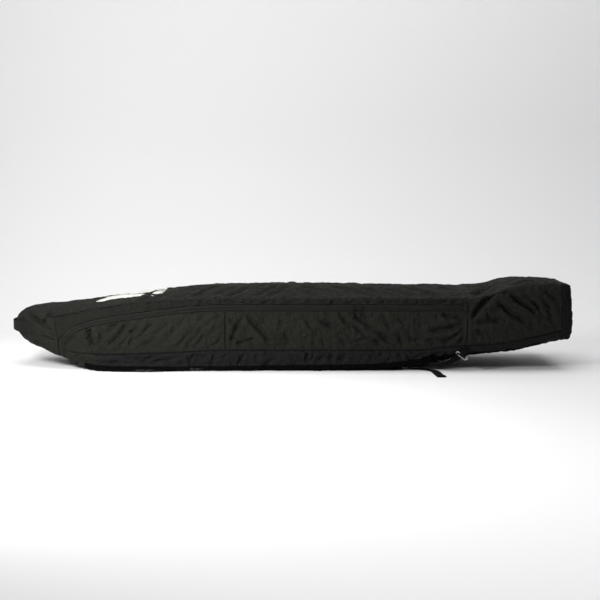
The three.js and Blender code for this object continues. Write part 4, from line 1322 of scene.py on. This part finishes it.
def ring(side, sign):
    middle, along, up, hang = ring_frame(sign)
    half, corner, wire = 0.0185, 0.0045, 0.0017
    path = []
    for cx, cy, start in ((half - corner, corner, -90), (half - corner, RING_DROP - corner, 0),
                          (-half + corner, RING_DROP - corner, 90), (-half + corner, corner, 180)):
        for step in range(7):
            a = math.radians(start + step * 15)
            path.append((cx + corner * math.cos(a), cy + corner * math.sin(a)))
    path = np.array(path)
    p = middle + path[:, :1] * along + path[:, 1:] * hang
    t = unit(np.roll(p, -1, 0) - np.roll(p, 1, 0))
    flat = np.cross(along, hang)
    out = np.cross(t, flat)
    a = np.linspace(0, 2 * math.pi, 14, endpoint=False)
    tube = p[:, None] + wire * (np.cos(a)[None, :, None] * out[:, None] + np.sin(a)[None, :, None] * flat)
    rows, cols = tube.shape[:2]
    obj = new_object(f"ring_wire_{side}", tube.reshape(-1, 3), grid_faces(rows, cols, rows, cols))
    obj.data.validate()
    close_ends(obj, cols, 0)
    attach(obj, f"ring_{side}", [f"strap_ring_{side}"], "nickel")
    # The tab goes down in front of the bar, round it and up behind, into the lower seam.
    turns = [math.radians(180 * k / 8) for k in range(9)]
    loop = [(-0.0034 * math.sin(a), 0.0034 * math.cos(a)) for a in turns]
    front = [(0.024, -0.0060), (0.016, -0.0030), (0.007, 0.0022)]
    back = [(0.007, -0.0040), (0.016, -0.0060), (0.024, -0.0080)]
    points = [middle + up * high + np.array([0, sign * out, 0]) for high, out in front + loop + back]
    obj = webbing(f"ring_webbing_{side}", points, [tuple(along * 0.0098)] * len(points), 0.0014, fine=4)
    attach(obj, "base", [f"ring_tab_{side}"], "webbing")


def lower_webbing(side, sign):
    middle, along, up, hang = ring_frame(sign)
    far_bar = middle + hang * RING_DROP
    behind = far_bar + hang * 0.0030
    route = [(0.322, sign * 0.130, 0.0095), (0.344, sign * 0.131, 0.0085), (0.385, sign * 0.140, 0.012),
             (0.425, sign * 0.153, 0.0165), (0.455, sign * 0.163, 0.0250)]
    points = route + [tuple(behind - along * 0.004), tuple(far_bar + up * 0.0028)]
    # The strap turns from lying flat to lying along the ring's bar.
    halves = np.array(flat_halves(points, STRAP_HALF))
    targets = along * STRAP_HALF * np.where(halves @ along < 0, -1, 1)[:, None]
    halves += (targets - halves) * (np.linspace(0, 1, len(points)) ** 2)[:, None]
    obj = webbing(f"lower_webbing_{side}", points, unit(halves) * STRAP_HALF, 0.0020)
    # The webbing's look is black webbing with painted shade in it.
    dress(obj, "webbing")
    obj.data.transform(Matrix.Translation((DRAWN_X, 0, 0)))
    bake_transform(obj)
    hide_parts(f"webbing_lower_{side}")


# ---------------------------------------------------------------- sliders

def sliders():
    """Each slider's body is made of plates, a neck, lugs and a pin; its pull is a frame with a tab."""
    for which, nose in (("front", -1), ("rear", 1)):
        x, pin_y, z = JOINTS[f"pull_{which}_swing"]
        face = pin_y + 0.0025
        body_parts = [((x, face + 0.0012, z), (0.0165, 0.0024, 0.0092)),
                      ((x + nose * 0.0035, face + 0.0012, z), (0.0095, 0.0022, 0.0108)),
                      ((x, face + 0.0080, z), (0.0165, 0.0020, 0.0092)),
                      ((x + nose * 0.0050, face + 0.0046, z), (0.0060, 0.0060, 0.0008)),
                      *(((x + dx, face - 0.0018, z), (0.0014, 0.0044, 0.0042)) for dx in (-0.0042, 0.0042)),
                      ((x, pin_y, z), (0.0090, 0.0014, 0.0014))]
        obj = boxes(f"slider_body_{which}", body_parts, 0.0005)
        attach(obj, f"slider_{which}", [f"slider_{which}"], "slider")
        length = z - cad_box(f"pull_{which}")[0][2]
        rails = (x - 0.0023, x + 0.0023)
        long = length - 0.004
        pull_parts = [*(((rail, pin_y, z - long / 2 - 0.001), (0.0014, 0.0014, long)) for rail in rails),
                      ((x, pin_y, z - 0.0028), (0.0058, 0.0014, 0.0024)),
                      ((x, pin_y, z + 0.0018), (0.0058, 0.0030, 0.0012)),
                      *(((rail, pin_y, z), (0.0013, 0.0030, 0.0044)) for rail in rails),
                      ((x, pin_y, z - length + 0.006), (0.0060, 0.0020, 0.0110))]
        obj = boxes(f"pull_tab_{which}", pull_parts, 0.0005)
        attach(obj, f"pull_{which}", [f"pull_{which}"], "slider")


# ---------------------------------------------------------------- carried-over CAD nodes

def cad_materials():
    """Gives each CAD node its slot's look."""
    for part in frame["record"]["subparts"]:
        slot = part["material_slot"]
        dress(frame["nodes"][part["node"]], LOOKS.get(slot, slot))


# ---------------------------------------------------------------- stage, light, camera

def stage():
    """White paper: a floor, a quarter-round bend behind the bag, and a wall."""
    front, bend_y, radius, top = -9.0, 0.62, 0.8, 4.5
    profile = [(front, 0.0), (bend_y, 0.0)]
    for i in range(1, 17):
        a = i / 16 * math.pi / 2
        profile.append((bend_y + radius * math.sin(a), radius * (1 - math.cos(a))))
    profile.append((bend_y + radius, top))
    verts = [(x, y, z) for y, z in profile for x in (-6, 6)]
    faces = [(2 * i, 2 * i + 1, 2 * i + 3, 2 * i + 2) for i in range(len(profile) - 1)]
    obj = new_object("studio_sweep", verts, faces)
    material, tree, bsdf = shader("white_paper")
    finish(bsdf, {"Base Color": (0.88, 0.88, 0.88, 1), "Roughness": 0.95, "Specular IOR Level": 0.2})
    # The paper's back lets a view from behind it through.
    side = made(tree, "ShaderNodeNewGeometry").outputs["Backfacing"]
    clear = made(tree, "ShaderNodeBsdfTransparent").outputs[0]
    mix = made(tree, "ShaderNodeMixShader", {0: side, 1: bsdf.outputs[0], 2: clear})
    tree.links.new(mix.outputs[0], tree.nodes["Material Output"].inputs["Surface"])
    obj.data.materials.append(material)


def area_light(name, place, target, size, power):
    data = bpy.data.lights.new(name, "AREA")
    data.shape = "RECTANGLE"
    data.size, data.size_y = size
    data.energy = power
    obj = linked(name, data)
    obj.location = place
    obj.rotation_euler = (Vector(target) - Vector(place)).to_track_quat("-Z", "Y").to_euler()


def lights():
    area_light("key_left", (-0.90, -1.20, 0.78), (-0.35, 0, 0.1), (0.40, 0.40), 26)
    area_light("fill_top", (0.20, -0.35, 3.4), (0.2, 0.1, 0), (4.2, 2.4), 84)
    # This one leans away from the bag and lights the floor in front of it only.
    area_light("fill_floor", (0.1, -1.3, 1.5), (0.1, -2.9, 0.75), (3.0, 0.5), 19)
    world = bpy.data.worlds.new("studio_air")
    world.use_nodes = True
    finish(world.node_tree.nodes["Background"], {"Color": (0.97, 0.98, 1.0, 1), "Strength": 0.10})
    bpy.context.scene.world = world
    bpy.context.scene.view_settings.view_transform = "Standard"


CAMERA_PLACE = (0.020, -3.18, 0.4957)
CAMERA_DOWN = 5.46


def camera():
    data = bpy.data.cameras.new("camera")
    data.lens, data.sensor_width = 62.8, 36
    obj = linked("camera", data)
    obj.location = placed(*CAMERA_PLACE)
    obj.rotation_euler = (math.radians(90 - CAMERA_DOWN), 0, 0)
    bpy.context.scene.camera = obj


camera()
cad_materials()
side_panels()
lower_bands()
seam_bindings()
belly()
front_panel()
front_strips()
nose_cap()
tail_top()
tail_end()
zips()
sewing()
pipings()
zip_stops()
nose_handle()
tail_handle()
harness()
sliders()
stage()
lights()
